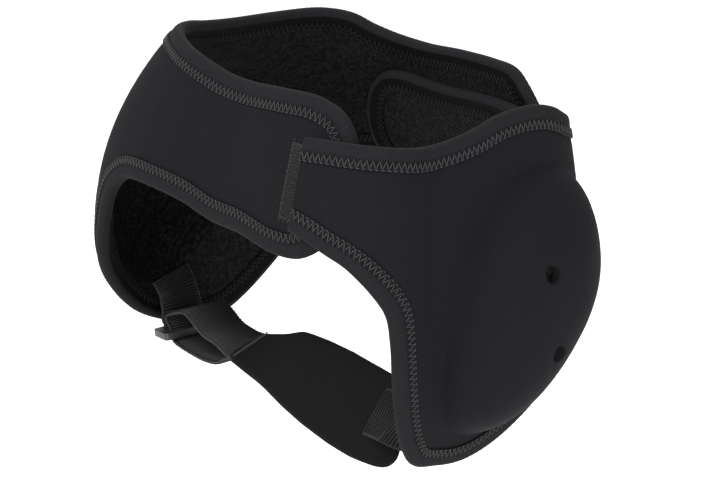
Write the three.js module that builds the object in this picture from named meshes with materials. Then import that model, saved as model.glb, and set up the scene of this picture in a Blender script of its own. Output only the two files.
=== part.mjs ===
// Wrestling ear guard: a neoprene head loop with two ear domes and a chin strap.
// Millimetres, +Z up, the wearer faces -Y and the wearer's left is +X.
// The origin is the centre of the head loop, where the head holds the guard up.
import * as THREE from "three";

// Driving dimensions
const LOOP_WIDTH = 154;
const LOOP_LENGTH = 116;
const PANEL_HEIGHT = 130;
const NEOPRENE_THICKNESS = 4.5;
const DOME_HEIGHT = 21.5;
const BINDING_WIDTH = 7;
const BINDING_THICKNESS = 1.1;
const VENT_DIAMETER = 6.5;
const PATCH_THICKNESS = 1.1;
const WEBBING_WIDTH = 20;
const WEBBING_THICKNESS = 1.6;
const PAD_WIDTH = 37;
const PAD_THICKNESS = 5;
const BUCKLE_THICKNESS = 3.2;
const BUCKLE_BAR = 2.4;
const BUCKLE_SIDE = 3.6;
const SLOT_CLEARANCE = 0.7;
const GAP = 0.5;
const LAYER_GAP = 0.6;

// Distance between the middles of two layers that lie on each other, with the bindings between them
const LAYER_STEP = NEOPRENE_THICKNESS + 2 * (BINDING_THICKNESS + GAP) + LAYER_GAP;

// Mesh fineness: distances between the points of an outline, of the lattice inside it and of a
// dome's rim, and the distances that keep lattice points clear of others
const OUTLINE_STEP = 6.2;
const INNER_STEP = 10;
const DOME_STEP = 7;
const LATTICE_CLEARANCE = 0.62 * INNER_STEP;
const BINDING_CLEARANCE = 0.75 * BINDING_WIDTH;
const RIM_CLEARANCE = 3;
const VENT_CLEARANCE = 1.1 * VENT_DIAMETER;
const VENT_SIDES = 10;
const LOOP_DIVISIONS = 1200;
const DIFFERENCE = 0.5;
const NEAR_WEBBING_SPANS = 20;
const FAR_WEBBING_SPANS = 72;
const TAB_SPANS = 28;

// Plan of the loop at three heights, seen from above. Columns: place, then x and y at the top,
// middle and low height, x as shares of half the loop's width and y of half its length.
const PLAN_HEIGHTS = [0.27, -0.23, -0.73];
const PLAN = [
  ["front centre", 0.0, -1.03, 0.0, -1.45, 0.0, -1.59],
  ["front left", 0.52, -1.02, 0.65, -1.41, 0.65, -1.52],
  ["left front", 0.9, -0.72, 1.14, -1.07, 1.12, -1.03],
  ["left middle", 0.99, -0.03, 1.19, -0.14, 1.16, -0.09],
  ["left back", 0.915, 0.615, 1.058, 0.668, 0.99, 0.72],
  ["back left", 0.545, 0.86, 0.65, 1.0, 0.6, 1.07],
  ["back centre", 0.0, 0.93, 0.0, 1.07, 0.0, 1.14],
  ["back right", -0.545, 0.86, -0.65, 1.03, -0.6, 1.07],
  ["right back", -0.92, 0.55, -1.09, 0.66, -1.04, 0.72],
  ["right middle", -1.0, 0.0, -1.22, -0.1, -1.18, -0.09],
  ["right front", -0.9, -0.73, -1.215, -1.12, -1.13, -1.02],
  ["front right", -0.525, -1.04, -0.69, -1.47, -0.65, -1.52],
];

// Flat outlines. Columns: place around the loop as a share of its length from the front centre
// over the wearer's left, and height as a share of the panel height.
const WRAP_OUTLINE = [
  // top edge of the back band, then of the strap over the forehead
  [0.441, 0.158], [0.469, 0.154], [0.509, 0.132], [0.551, 0.103], [0.58, 0.103],
  [0.603, 0.123], [0.622, 0.155], [0.645, 0.169], [0.683, 0.175], [0.747, 0.198],
  [0.783, 0.222], [0.811, 0.25], [0.84, 0.27], [0.87, 0.283], [0.918, 0.287],
  [0.948, 0.28], [0.977, 0.272], [1.008, 0.278], [1.049, 0.303], [1.084, 0.318],
  [1.102, 0.31], [1.117, 0.288],
  // rounded end of the strap
  [1.127, 0.24], [1.131, 0.173], [1.129, 0.09], [1.121, 0.01], [1.109, -0.045],
  // bottom edge of the strap
  [1.095, -0.08], [1.077, -0.09], [1.04, -0.085], [1.004, -0.097], [0.97, -0.085],
  [0.94, -0.086], [0.915, -0.098], [0.899, -0.12],
  // right ear panel: front, bottom and back edge
  [0.887, -0.165], [0.88, -0.215], [0.876, -0.29], [0.871, -0.385], [0.864, -0.47],
  [0.854, -0.545], [0.845, -0.615], [0.837, -0.68], [0.8265, -0.746], [0.8105, -0.799],
  [0.79, -0.838], [0.767, -0.853], [0.743, -0.845], [0.721, -0.81], [0.701, -0.755],
  [0.684, -0.69], [0.669, -0.6], [0.656, -0.5], [0.643, -0.41], [0.625, -0.34],
  // bottom edge and slanted end of the back band
  [0.6, -0.305], [0.55, -0.29], [0.5, -0.285], [0.45, -0.28], [0.405, -0.282],
  [0.391, -0.265], [0.388, -0.215], [0.395, -0.13], [0.406, -0.02], [0.42, 0.072],
  [0.431, 0.127],
];
const LEFT_OUTLINE = [
  // top edge from the front tab's cut end to the rear tab
  [0.098, 0.212], [0.118, 0.216], [0.151, 0.214], [0.194, 0.212], [0.234, 0.224],
  [0.26, 0.241], [0.281, 0.244], [0.302, 0.235], [0.322, 0.209], [0.34, 0.166],
  [0.359, 0.125], [0.38, 0.097], [0.41, 0.082], [0.443, 0.07], [0.47, 0.053],
  [0.502, 0.028], [0.537, 0.012], [0.564, 0.009],
  // rounded end of the rear tab
  [0.582, -0.01], [0.593, -0.065], [0.597, -0.15], [0.595, -0.225], [0.586, -0.295],
  [0.57, -0.338],
  // bottom of the rear tab, back, bottom and front edge of the ear panel
  [0.545, -0.35], [0.5, -0.35], [0.455, -0.348], [0.42, -0.356], [0.392, -0.384],
  [0.367, -0.439], [0.3455, -0.509], [0.3215, -0.584], [0.2975, -0.65], [0.272, -0.706],
  [0.245, -0.749], [0.218, -0.762], [0.195, -0.739], [0.18, -0.7], [0.174, -0.635],
  [0.1705, -0.54], [0.1685, -0.39], [0.1672, -0.28], [0.164, -0.195], [0.1545, -0.122],
  [0.141, -0.063], [0.126, -0.034], [0.112, -0.014], [0.098, -0.002],
];
// Outline of the left ear dome; the right dome is the same shape turned round its own middle
const DOME_OUTLINE = [
  [0.33, 0.0], [0.31, 0.056], [0.286, 0.073], [0.264, 0.053], [0.244, -0.016],
  [0.228, -0.115], [0.213, -0.265], [0.206, -0.385], [0.203, -0.48], [0.205, -0.575],
  [0.212, -0.635], [0.228, -0.67], [0.25, -0.66], [0.276, -0.595], [0.302, -0.495],
  [0.325, -0.375], [0.338, -0.25], [0.339, -0.115],
];
// A dome's height falls from its middle to its rim as (1 - share ** DOME_FLATNESS) ** DOME_FULLNESS
const DOME_FLATNESS = 2.9;
const DOME_FULLNESS = 0.8;
const DOME_RINGS = [1, 0.94, 0.84, 0.68, 0.5, 0.3, 0.12];
const RING_THINNING = 0.75;
const LEFT_DOME_MIDDLE = [0.271, -0.31];
const RIGHT_DOME_MIDDLE = [0.764, -0.33];
const VENTS = [
  [0.2665, -0.172],
  [0.269, -0.407],
];
// The left panel lies over the strap at the front and inside the back band at the back
const FRONT_TAB_END = 0.145;
const FRONT_STEP_END = 0.2;
const REAR_STEP_START = 0.343;
const REAR_TAB_START = 0.375;
const REAR_STEP_HEIGHTS = [-0.6, -0.33];
// Hook patch on the strap: columns as in the outlines, first and last corner
const PATCH_CORNERS = [
  [0.078, -0.003],
  [0.1, 0.205],
];

// Chin pad. Columns: x as a share of half the loop's width, y of half its length, z of the panel
// height, width as a share of the pad's, tilt in degrees and turn toward the slider's bars.
const PAD_STATIONS = [
  [1.03, -0.765, -0.659, 0.83, 28, 0],
  [0.965, -0.825, -0.653, 0.94, 42, 0],
  [0.86, -0.85, -0.652, 0.99, 47, 0],
  [0.7, -0.86, -0.652, 0.99, 47, 0],
  [0.48, -0.86, -0.651, 0.96, 47, 0],
  [0.28, -0.85, -0.654, 0.89, 47, 0],
  [0.1, -0.835, -0.662, 0.79, 47, 0],
  [-0.06, -0.82, -0.685, 0.66, 47, 0.25],
  [-0.3, -0.8, -0.715, 0.55, 47, 0.7],
];
const PAD_TILT = THREE.MathUtils.degToRad(47);
const PAD_SPANS = 26;
// The webbing is sewn to the pad's neck between these two of its stations
const NECK_SEAM = 24;
// Near webbing: its cut end on the pad, then places on the panel's inner face as in the outlines
const NEAR_WEBBING_END = [0.915, -0.855, -0.63];
const NEAR_WEBBING_TURN = [1.02, -0.82, -0.6335];
const NEAR_WEBBING_SEAM = [
  [0.184, -0.645],
  [0.197, -0.64],
  [0.212, -0.635],
];
// Slider frame: middle as shares of half width, half length and panel height, and its turn
const BUCKLE_MIDDLE = [-0.983, -0.703, -0.828];
const BUCKLE_LEAN = THREE.MathUtils.degToRad(104);
const BUCKLE_YAW = THREE.MathUtils.degToRad(8);

// Far webbing: places of its lower and upper layer as shares, as the slider's middle, and between
// them its way round the slider's bars. Columns there: up across the bars as a share of half their
// pitch, and out of the slider's face as a share of the clear height over a bar.
const LOWER_LAYER = [
  [-0.422, -0.778, -0.787],
  [-0.552, -0.764, -0.815],
  [-0.721, -0.747, -0.832],
];
const SLIDER_WINDING = [
  [-2.6, -1.35], [-1.77, -1.15], [-1.1, -0.75], [-1, 0], [-0.75, 1],
  [0.04, 1.6], [0.22, 2.17], [-0.15, 2.76], [-1.04, 3.1],
];
const UPPER_LAYER = [
  [-0.795, -0.721, -0.703],
  [-0.722, -0.733, -0.707],
  [-0.579, -0.76, -0.722],
  [-0.422, -0.783, -0.714],
];

// Tab: where it is sewn to the panel's inner face, a place below that, and its way round the
// slider's outer bar in the same columns
const TAB_SEAM = [
  [0.791, -0.695],
  [0.792, -0.73],
];
const TAB_DROP = [-1.06, -0.69, -0.769];
const TAB_WINDING = [[1.7, 1.3], [1.2, 1.1], [1, 0], [1.3, -1], [1.9, -1.1]];
const TAB_STAND_OFF = 2.6;
const TAB_TURN = 0.4;

// Section of a strip. Columns: share of half its width, share of half its thickness.
const STRIP_SECTION = [
  [-1, 0.5], [-0.92, 1], [0.92, 1], [1, 0.5],
  [1, -0.5], [0.92, -1], [-0.92, -1], [-1, -0.5],
];

const HALF_WIDTH = LOOP_WIDTH / 2;
const HALF_LENGTH = LOOP_LENGTH / 2;
const HALF_NEOPRENE = NEOPRENE_THICKNESS / 2;
const UP = new THREE.Vector3(0, 0, 1);

// Turn one row of shares into a place in the part's frame
function place([x, y, z]) {
  return new THREE.Vector3(x * HALF_WIDTH, y * HALF_LENGTH, z * PANEL_HEIGHT);
}

// The closed surface on which every flat outline is formed
function planCurve(xColumn, height) {
  const points = PLAN.map((row) => place([row[xColumn], row[xColumn + 1], height]));
  return new THREE.CatmullRomCurve3(points, true, "catmullrom", 0.5);
}

const planCurves = PLAN_HEIGHTS.map((height, level) => planCurve(1 + 2 * level, height));
const loopCurve = planCurves[1];
loopCurve.arcLengthDivisions = LOOP_DIVISIONS;
const loopSize = loopCurve.getLength();

function formPoint(around, height) {
  const turn = loopCurve.getUtoTmapping(THREE.MathUtils.euclideanModulo(around / loopSize, 1));
  const share = height / PANEL_HEIGHT;
  const point = new THREE.Vector3();
  planCurves.forEach((curve, level) => {
    let weight = 1;
    PLAN_HEIGHTS.forEach((other, index) => {
      if (index !== level) weight *= (share - other) / (PLAN_HEIGHTS[level] - other);
    });
    point.addScaledVector(curve.getPoint(turn), weight);
  });
  return point.setZ(height);
}

function surfaceNormal(surface, p) {
  const along = surface(p.x + DIFFERENCE, p.y).sub(surface(p.x - DIFFERENCE, p.y));
  const upward = surface(p.x, p.y + DIFFERENCE).sub(surface(p.x, p.y - DIFFERENCE));
  return along.cross(upward).normalize();
}

// A sheet lies on the form, lifted along the form's normal by the height its layer function gives
function makeSheet(lift) {
  const surface = (around, height) => {
    const p = new THREE.Vector2(around, height);
    return formPoint(around, height).addScaledVector(surfaceNormal(formPoint, p), lift(p));
  };
  return (p, depth) => surface(p.x, p.y).addScaledVector(surfaceNormal(surface, p), depth);
}

// Flat outlines in millimetres: x along the loop, y up
function flat([around, height]) {
  return new THREE.Vector2(around * loopSize, height * PANEL_HEIGHT);
}

function flatCurve(rows, closed) {
  const points = rows.map(flat).map((p) => new THREE.Vector3(p.x, p.y, 0));
  return new THREE.CatmullRomCurve3(points, closed, "centripetal");
}

function sampleCurve(curve, step) {
  const count = Math.round(curve.getLength() / step);
  const points = curve.getSpacedPoints(count).map((p) => new THREE.Vector2(p.x, p.y));
  if (curve.closed) points.pop();
  return points;
}

function counterClockwise(points) {
  return THREE.ShapeUtils.isClockWise(points) ? points.reverse() : points;
}

// Distance from a dome's middle to its rim, in the direction of an offset from that middle
function rimReach(rim) {
  const polar = rim.map((p) => ({ angle: p.angle(), radius: p.length() }));
  polar.sort((a, b) => a.angle - b.angle);
  return (offset) => {
    const angle = offset.angle();
    const found = polar.findIndex((entry) => entry.angle >= angle);
    const next = Math.max(found, 0);
    const [before, after] = [polar.at(next - 1), polar[next]];
    const span = THREE.MathUtils.euclideanModulo(after.angle - before.angle, 2 * Math.PI);
    const part = THREE.MathUtils.euclideanModulo(angle - before.angle, 2 * Math.PI);
    return THREE.MathUtils.lerp(before.radius, after.radius, span > 0 ? part / span : 0);
  };
}

// Points on smaller and smaller copies of the rim, fewer toward the middle
function domeRings(rim) {
  return DOME_RINGS.flatMap((share) => {
    const step = Math.max(1, Math.round(RING_THINNING / share));
    return rim.filter((p, index) => index % step === 0).map((p) => p.clone().multiplyScalar(share));
  });
}

// Ear dome: the height over the panel falls to nothing at the dome's outline
function makeDome(middleRow, side) {
  const middle = flat(middleRow);
  const offsetOf = (p) => {
    const offset = p.clone().sub(flat(LEFT_DOME_MIDDLE));
    return new THREE.Vector2(offset.x * side, offset.y);
  };
  const outline = flatCurve(DOME_OUTLINE, true);
  const rim = sampleCurve(outline, DOME_STEP).map(offsetOf);
  const reach = rimReach(sampleCurve(outline, 1).map(offsetOf));
  const lift = (p) => {
    const offset = p.clone().sub(middle);
    const share = Math.min(1, offset.length() / reach(offset));
    return DOME_HEIGHT * (1 - share ** DOME_FLATNESS) ** DOME_FULLNESS;
  };
  const [placedRim, rings, vents] = [rim, domeRings(rim), VENTS.map(flat).map(offsetOf)]
    .map((points) => points.map((p) => p.clone().add(middle)));
  return { rim: placedRim, rings, vents, lift };
}

// Places on a sheet measured from its edge: distance inward, along the local inward direction
function inwardStep(sheet, points, index, closed) {
  const last = points.length - 1;
  const before = points[closed ? (index + last) % points.length : Math.max(index - 1, 0)];
  const after = points[closed ? (index + 1) % points.length : Math.min(index + 1, last)];
  const stretch = (x, y) => {
    const step = new THREE.Vector2(x, y);
    const ahead = sheet(points[index].clone().add(step), 0);
    return ahead.distanceTo(sheet(points[index].clone().sub(step), 0)) / (2 * DIFFERENCE);
  };
  const [along, upward] = [stretch(DIFFERENCE, 0), stretch(0, DIFFERENCE)];
  const run = new THREE.Vector2((after.x - before.x) * along, (after.y - before.y) * upward);
  run.normalize();
  return new THREE.Vector2(-run.y / along, run.x / upward);
}

function insetLoop(sheet, points, closed, distance) {
  return points.map((p, index) => {
    return p.clone().addScaledVector(inwardStep(sheet, points, index, closed), distance);
  });
}

function insidePolygon(p, polygon) {
  let inside = false;
  polygon.forEach((a, index) => {
    const b = polygon[(index + 1) % polygon.length];
    const crosses = a.y > p.y !== b.y > p.y;
    if (crosses && p.x < a.x + ((b.x - a.x) * (p.y - a.y)) / (b.y - a.y)) inside = !inside;
  });
  return inside;
}

// Delaunay triangles of flat points, added one at a time
function circleThrough(points, a, b, c) {
  const [p, q, r] = [points[a], points[b], points[c]];
  const d = 2 * (p.x * (q.y - r.y) + q.x * (r.y - p.y) + r.x * (p.y - q.y));
  const [pp, qq, rr] = [p.lengthSq(), q.lengthSq(), r.lengthSq()];
  const x = (pp * (q.y - r.y) + qq * (r.y - p.y) + rr * (p.y - q.y)) / d;
  const y = (pp * (r.x - q.x) + qq * (p.x - r.x) + rr * (q.x - p.x)) / d;
  return { corners: [a, b, c], x, y, reach: (p.x - x) ** 2 + (p.y - y) ** 2 };
}

function triangulate(points) {
  const far = 1e4 * INNER_STEP;
  const all = [...points, new THREE.Vector2(-far, -far)];
  all.push(new THREE.Vector2(far, -far), new THREE.Vector2(0, far));
  const count = points.length;
  let triangles = [circleThrough(all, count, count + 1, count + 2)];
  points.forEach((p, index) => {
    const edges = new Map();
    const kept = [];
    for (const triangle of triangles) {
      if ((p.x - triangle.x) ** 2 + (p.y - triangle.y) ** 2 > triangle.reach) {
        kept.push(triangle);
        continue;
      }
      const [a, b, c] = triangle.corners;
      for (const [from, to] of [[a, b], [b, c], [c, a]]) {
        if (!edges.delete(`${to},${from}`)) edges.set(`${from},${to}`, [from, to]);
      }
    }
    edges.forEach(([from, to]) => kept.push(circleThrough(all, from, to, index)));
    triangles = kept;
  });
  return triangles.map((triangle) => triangle.corners).filter((t) => Math.max(...t) < count);
}

function ventRing(vent) {
  return Array.from({ length: VENT_SIDES }, (_, side) => {
    const angle = (2 * Math.PI * side) / VENT_SIDES;
    const out = new THREE.Vector2(Math.cos(angle), Math.sin(angle));
    return vent.clone().addScaledVector(out, VENT_DIAMETER / 2);
  });
}

function clearOf(p, others, distance) {
  return others.every((q) => q.distanceTo(p) > distance);
}

// Lattice of equal triangles over the outline, clear of the points that are there already
function latticePoints(edge, taken, isFree) {
  const box = new THREE.Box2().setFromPoints(edge);
  const rowStep = INNER_STEP * Math.sqrt(0.75);
  const points = [];
  for (let row = 0; box.min.y + row * rowStep < box.max.y; row += 1) {
    for (let column = 0; box.min.x + column * INNER_STEP < box.max.x; column += 1) {
      const x = box.min.x + (column + 0.5 * (row % 2)) * INNER_STEP;
      const p = new THREE.Vector2(x, box.min.y + row * rowStep);
      if (isFree(p) && clearOf(p, taken, LATTICE_CLEARANCE)) points.push(p);
    }
  }
  return points;
}

// Points that fill a flat outline: its edge, a line behind the binding, domes, vents and a lattice
function fillOutline(sheet, edge, boundPart, domes) {
  const bound = insetLoop(sheet, boundPart.points, boundPart.closed, BINDING_WIDTH + GAP);
  const holes = domes.flatMap((dome) => dome.vents.map(ventRing));
  const rings = domes.flatMap((dome) => {
    return dome.rings.filter((p) => clearOf(p, dome.vents, VENT_CLEARANCE));
  });
  const isFree = (p) => {
    return insidePolygon(p, edge) && domes.every((dome) => !insidePolygon(p, dome.rim));
  };
  const behindBinding = bound.filter((p) => {
    const nearDome = domes.some((dome) => !clearOf(p, dome.rim, RIM_CLEARANCE));
    return isFree(p) && !nearDome && clearOf(p, edge, BINDING_CLEARANCE);
  });
  const taken = [...edge, ...rings, ...holes.flat(), ...behindBinding];
  return { points: [...taken, ...latticePoints(edge, taken, isFree)], holes };
}

// A closed solid of constant thickness over the flat outline
function shellGeometry(sheet, edge, boundPart, domes) {
  const { points, holes } = fillOutline(sheet, edge, boundPart, domes);
  const inHole = (middle) => holes.some((ring) => insidePolygon(middle, ring));
  const triangles = triangulate(points).filter(([a, b, c]) => {
    const middle = points[a].clone().add(points[b]).add(points[c]).divideScalar(3);
    return insidePolygon(middle, edge) && !inHole(middle);
  });
  return thicken(points, triangles, (p, side) => sheet(p, side * HALF_NEOPRENE));
}

// Two copies of a flat triangle mesh, joined by walls along its free edges
function thicken(points, triangles, locate) {
  const used = [...new Set(triangles.flat())];
  const renumber = new Map(used.map((old, index) => [old, index]));
  const vertices = [1, -1].flatMap((side) => used.map((index) => locate(points[index], side)));
  const back = used.length;
  const faces = [];
  const free = new Map();
  for (const triangle of triangles) {
    const [a, b, c] = triangle.map((index) => renumber.get(index));
    faces.push([a, b, c], [back + a, back + c, back + b]);
    for (const [from, to] of [[a, b], [b, c], [c, a]]) {
      if (!free.delete(`${to},${from}`)) free.set(`${from},${to}`, [from, to]);
    }
  }
  free.forEach(([a, b]) => faces.push([b, a, back + a], [b, back + a, back + b]));
  return meshGeometry(vertices, faces);
}

function meshGeometry(vertices, faces) {
  const geometry = new THREE.BufferGeometry();
  geometry.setFromPoints(vertices);
  geometry.setIndex(faces.flat());
  geometry.computeVertexNormals();
  return geometry;
}

// A solid swept through sections of equal size, closed on itself or capped at both ends
function sweepGeometry(sections, closed) {
  const size = sections[0].length;
  const vertices = sections.flat();
  const faces = [];
  const spans = closed ? sections.length : sections.length - 1;
  for (let span = 0; span < spans; span += 1) {
    const here = span * size;
    const next = ((span + 1) % sections.length) * size;
    for (let corner = 0; corner < size; corner += 1) {
      const other = (corner + 1) % size;
      faces.push([here + corner, next + corner, next + other]);
      faces.push([here + corner, next + other, here + other]);
    }
  }
  if (!closed) faces.push(...capFaces(sections[0], 0, false));
  if (!closed) faces.push(...capFaces(sections.at(-1), vertices.length - size, true));
  return meshGeometry(vertices, faces);
}

function capFaces(section, first, reversed) {
  const origin = section[0];
  const across = section[1].clone().sub(origin).normalize();
  const normal = new THREE.Vector3();
  section.forEach((p, index) => {
    const q = section[(index + 1) % section.length];
    normal.add(p.clone().sub(origin).cross(q.clone().sub(origin)));
  });
  const upward = normal.normalize().clone().cross(across);
  const contour = section.map((p) => {
    const offset = p.clone().sub(origin);
    return new THREE.Vector2(offset.dot(across), offset.dot(upward));
  });
  return THREE.ShapeUtils.triangulateShape(contour, []).map(([a, b, c]) => {
    return reversed ? [first + a, first + c, first + b] : [first + a, first + b, first + c];
  });
}

// Binding tape folded round an edge. Columns: distance in from the edge, depth on the sheet.
function bindingGeometry(sheet, points, closed) {
  const near = HALF_NEOPRENE + GAP;
  const far = near + BINDING_THICKNESS;
  const fold = -GAP - BINDING_THICKNESS;
  const profile = [
    [BINDING_WIDTH, near], [-GAP, near], [-GAP, -near], [BINDING_WIDTH, -near],
    [BINDING_WIDTH, -far], [fold, -far], [fold, far], [BINDING_WIDTH, far],
  ];
  const sections = points.map((p, index) => {
    const inward = inwardStep(sheet, points, index, closed);
    return profile.map(([q, depth]) => sheet(p.clone().addScaledVector(inward, q), depth));
  });
  return sweepGeometry(sections, closed);
}

// A strip with rounded long edges, swept through middle points with a direction across it
function stripGeometry(stations, thickness) {
  const sections = stations.map(({ middle, across, face, width }) => {
    return STRIP_SECTION.map(([side, level]) => middle.clone()
      .addScaledVector(across, (side * width) / 2)
      .addScaledVector(face, (level * thickness) / 2));
  });
  return sweepGeometry(sections, false);
}

// Stations along a curve through middle points, with the across directions blended between them
function stripStations(middles, acrosses, widths, count) {
  const curve = new THREE.CatmullRomCurve3(middles, false, "centripetal");
  const stations = [];
  for (let index = 0; index <= count; index += 1) {
    const turn = index / count;
    const reach = turn * (middles.length - 1);
    const first = Math.min(Math.floor(reach), middles.length - 2);
    const blend = reach - first;
    const along = curve.getTangent(turn);
    const across = acrosses[first].clone().lerp(acrosses[first + 1], blend);
    across.addScaledVector(along, -across.dot(along)).normalize();
    const width = THREE.MathUtils.lerp(widths[first], widths[first + 1], blend);
    const face = along.clone().cross(across).normalize();
    stations.push({ middle: curve.getPoint(turn), across, face, width });
  }
  return stations;
}

// Materials
function fabric(colour, roughness) {
  return new THREE.MeshStandardMaterial({ color: colour, roughness, metalness: 0 });
}

const neoprene = fabric(0x26272b, 0.85);
const bindingTape = fabric(0x34353a, 0.8);
const hookTape = fabric(0x0c0c0d, 0.95);
const webbing = fabric(0x2a2b2e, 0.7);
const padFoam = fabric(0x232427, 0.85);
const plastic = fabric(0x202123, 0.4);

const group = new THREE.Group();

function addMesh(name, geometry, material) {
  const mesh = new THREE.Mesh(geometry, material);
  mesh.name = name;
  group.add(mesh);
  return mesh;
}

// Head wrap: forehead strap, right ear panel and back band in one piece of neoprene
const rightDome = makeDome(RIGHT_DOME_MIDDLE, -1);
const wrapSheet = makeSheet((p) => (insidePolygon(p, rightDome.rim) ? rightDome.lift(p) : 0));
const wrapEdge = counterClockwise(sampleCurve(flatCurve(WRAP_OUTLINE, true), OUTLINE_STEP));

function addHeadWrap() {
  const bound = { points: wrapEdge, closed: true };
  addMesh("head_wrap", shellGeometry(wrapSheet, wrapEdge, bound, [rightDome]), neoprene);
  addMesh("head_wrap_binding", bindingGeometry(wrapSheet, wrapEdge, true), bindingTape);
}

// Left ear panel: its front tab lies over the strap and its rear tab inside the back band
const leftDome = makeDome(LEFT_DOME_MIDDLE, 1);

function leftLift(p) {
  const share = p.x / loopSize;
  const front = 1 - THREE.MathUtils.smoothstep(share, FRONT_TAB_END, FRONT_STEP_END);
  const backBand = THREE.MathUtils.smoothstep(p.y / PANEL_HEIGHT, ...REAR_STEP_HEIGHTS);
  const rear = THREE.MathUtils.smoothstep(share, REAR_STEP_START, REAR_TAB_START) * backBand;
  const dome = insidePolygon(p, leftDome.rim) ? leftDome.lift(p) : 0;
  return LAYER_STEP * (front - rear) + dome;
}

const leftSheet = makeSheet(leftLift);
const leftBound = sampleCurve(flatCurve(LEFT_OUTLINE, false), OUTLINE_STEP).reverse();

function cutEnd() {
  const first = leftBound.at(-1);
  const last = leftBound[0];
  const count = Math.round(first.distanceTo(last) / OUTLINE_STEP);
  const points = [];
  for (let index = 1; index < count; index += 1) {
    points.push(first.clone().lerp(last, index / count));
  }
  return points;
}

function addLeftPanel() {
  const edge = [...leftBound, ...cutEnd()];
  const bound = { points: leftBound, closed: false };
  addMesh("left_ear_panel", shellGeometry(leftSheet, edge, bound, [leftDome]), neoprene);
  addMesh("left_panel_binding", bindingGeometry(leftSheet, leftBound, false), bindingTape);
}

// Hook tape on the strap, under the left panel's front tab
function addHookPatch() {
  const [low, high] = PATCH_CORNERS.map(flat);
  const columns = Math.max(2, Math.round((high.x - low.x) / OUTLINE_STEP));
  const rows = Math.max(2, Math.round((high.y - low.y) / OUTLINE_STEP));
  const points = [];
  const triangles = [];
  for (let row = 0; row <= rows; row += 1) {
    for (let column = 0; column <= columns; column += 1) {
      const x = THREE.MathUtils.lerp(low.x, high.x, column / columns);
      points.push(new THREE.Vector2(x, THREE.MathUtils.lerp(low.y, high.y, row / rows)));
      if (row === rows || column === columns) continue;
      const corner = row * (columns + 1) + column;
      triangles.push([corner, corner + 1, corner + columns + 2]);
      triangles.push([corner, corner + columns + 2, corner + columns + 1]);
    }
  }
  const middle = HALF_NEOPRENE + GAP + PATCH_THICKNESS / 2;
  const locate = (p, side) => wrapSheet(p, middle + (side * PATCH_THICKNESS) / 2);
  addMesh("strap_hook_patch", thicken(points, triangles, locate), hookTape);
}

// Chin pad: a soft flat pad that narrows to the width of the webbing
const padAcross = new THREE.Vector3(0, -Math.sin(PAD_TILT), -Math.cos(PAD_TILT));
const padFace = new THREE.Vector3(0, -Math.cos(PAD_TILT), Math.sin(PAD_TILT));

function padAcrossAt([, , , , tilt, turn]) {
  const angle = THREE.MathUtils.degToRad(tilt);
  const across = new THREE.Vector3(0, -Math.sin(angle), -Math.cos(angle));
  return across.lerp(barsForward(), turn).normalize();
}

function padStations() {
  const middles = PAD_STATIONS.map(place);
  const widths = PAD_STATIONS.map((row) => row[3] * PAD_WIDTH);
  return stripStations(middles, PAD_STATIONS.map(padAcrossAt), widths, PAD_SPANS);
}

function addChinPad() {
  addMesh("chin_pad", stripGeometry(padStations(), PAD_THICKNESS), padFoam);
}

// Webbing that joins the pad to the left panel's inner face
function addNearWebbing() {
  const depth = -(HALF_NEOPRENE + 2 * GAP + BINDING_THICKNESS + WEBBING_THICKNESS / 2);
  const panel = makeSheet(() => 0);
  const places = NEAR_WEBBING_SEAM.map(flat);
  const reach = new THREE.Vector2(0, WEBBING_WIDTH / 2);
  const seam = places.map((p) => panel(p, depth));
  const downPanel = places.map((p) => {
    return panel(p.clone().sub(reach), 0).sub(panel(p.clone().add(reach), 0)).normalize();
  });
  const lift = PAD_THICKNESS / 2 + GAP + WEBBING_THICKNESS / 2;
  const start = place(NEAR_WEBBING_END).addScaledVector(padFace, lift);
  const turn = place(NEAR_WEBBING_TURN).addScaledVector(padFace, lift);
  const middles = [start, turn, ...seam];
  const acrosses = [padAcross, padAcross, ...downPanel];
  const widths = middles.map(() => WEBBING_WIDTH);
  const stations = stripStations(middles, acrosses, widths, NEAR_WEBBING_SPANS);
  addMesh("chin_webbing_near", stripGeometry(stations, WEBBING_THICKNESS), webbing);
}

// Slider frame with two slots: its bars run along its own x and its thickness along z
const barPitch = WEBBING_THICKNESS + 2 * SLOT_CLEARANCE + BUCKLE_BAR;

function addBuckle() {
  const outer = new THREE.Shape();
  const halfLong = WEBBING_WIDTH / 2 + GAP + BUCKLE_SIDE;
  const halfTall = barPitch + BUCKLE_BAR / 2;
  outer.moveTo(-halfLong, -halfTall).lineTo(halfLong, -halfTall);
  outer.lineTo(halfLong, halfTall).lineTo(-halfLong, halfTall).closePath();
  for (const side of [-1, 1]) {
    const slot = new THREE.Path();
    const low = side > 0 ? BUCKLE_BAR / 2 : BUCKLE_BAR / 2 - barPitch;
    const high = low + barPitch - BUCKLE_BAR;
    slot.moveTo(-WEBBING_WIDTH / 2 - GAP, low).lineTo(WEBBING_WIDTH / 2 + GAP, low);
    slot.lineTo(WEBBING_WIDTH / 2 + GAP, high).lineTo(-WEBBING_WIDTH / 2 - GAP, high).closePath();
    outer.holes.push(slot);
  }
  const geometry = new THREE.ExtrudeGeometry(outer, { depth: BUCKLE_THICKNESS, bevelEnabled: false });
  geometry.translate(0, 0, -BUCKLE_THICKNESS / 2);
  const mesh = addMesh("slide_buckle", geometry, plastic);
  mesh.matrixAutoUpdate = false;
  mesh.matrix.copy(buckleFrame());
}

// Forward direction along the slider's bars
function barsForward() {
  return new THREE.Vector3(-Math.sin(BUCKLE_YAW), -Math.cos(BUCKLE_YAW), 0);
}

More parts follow.
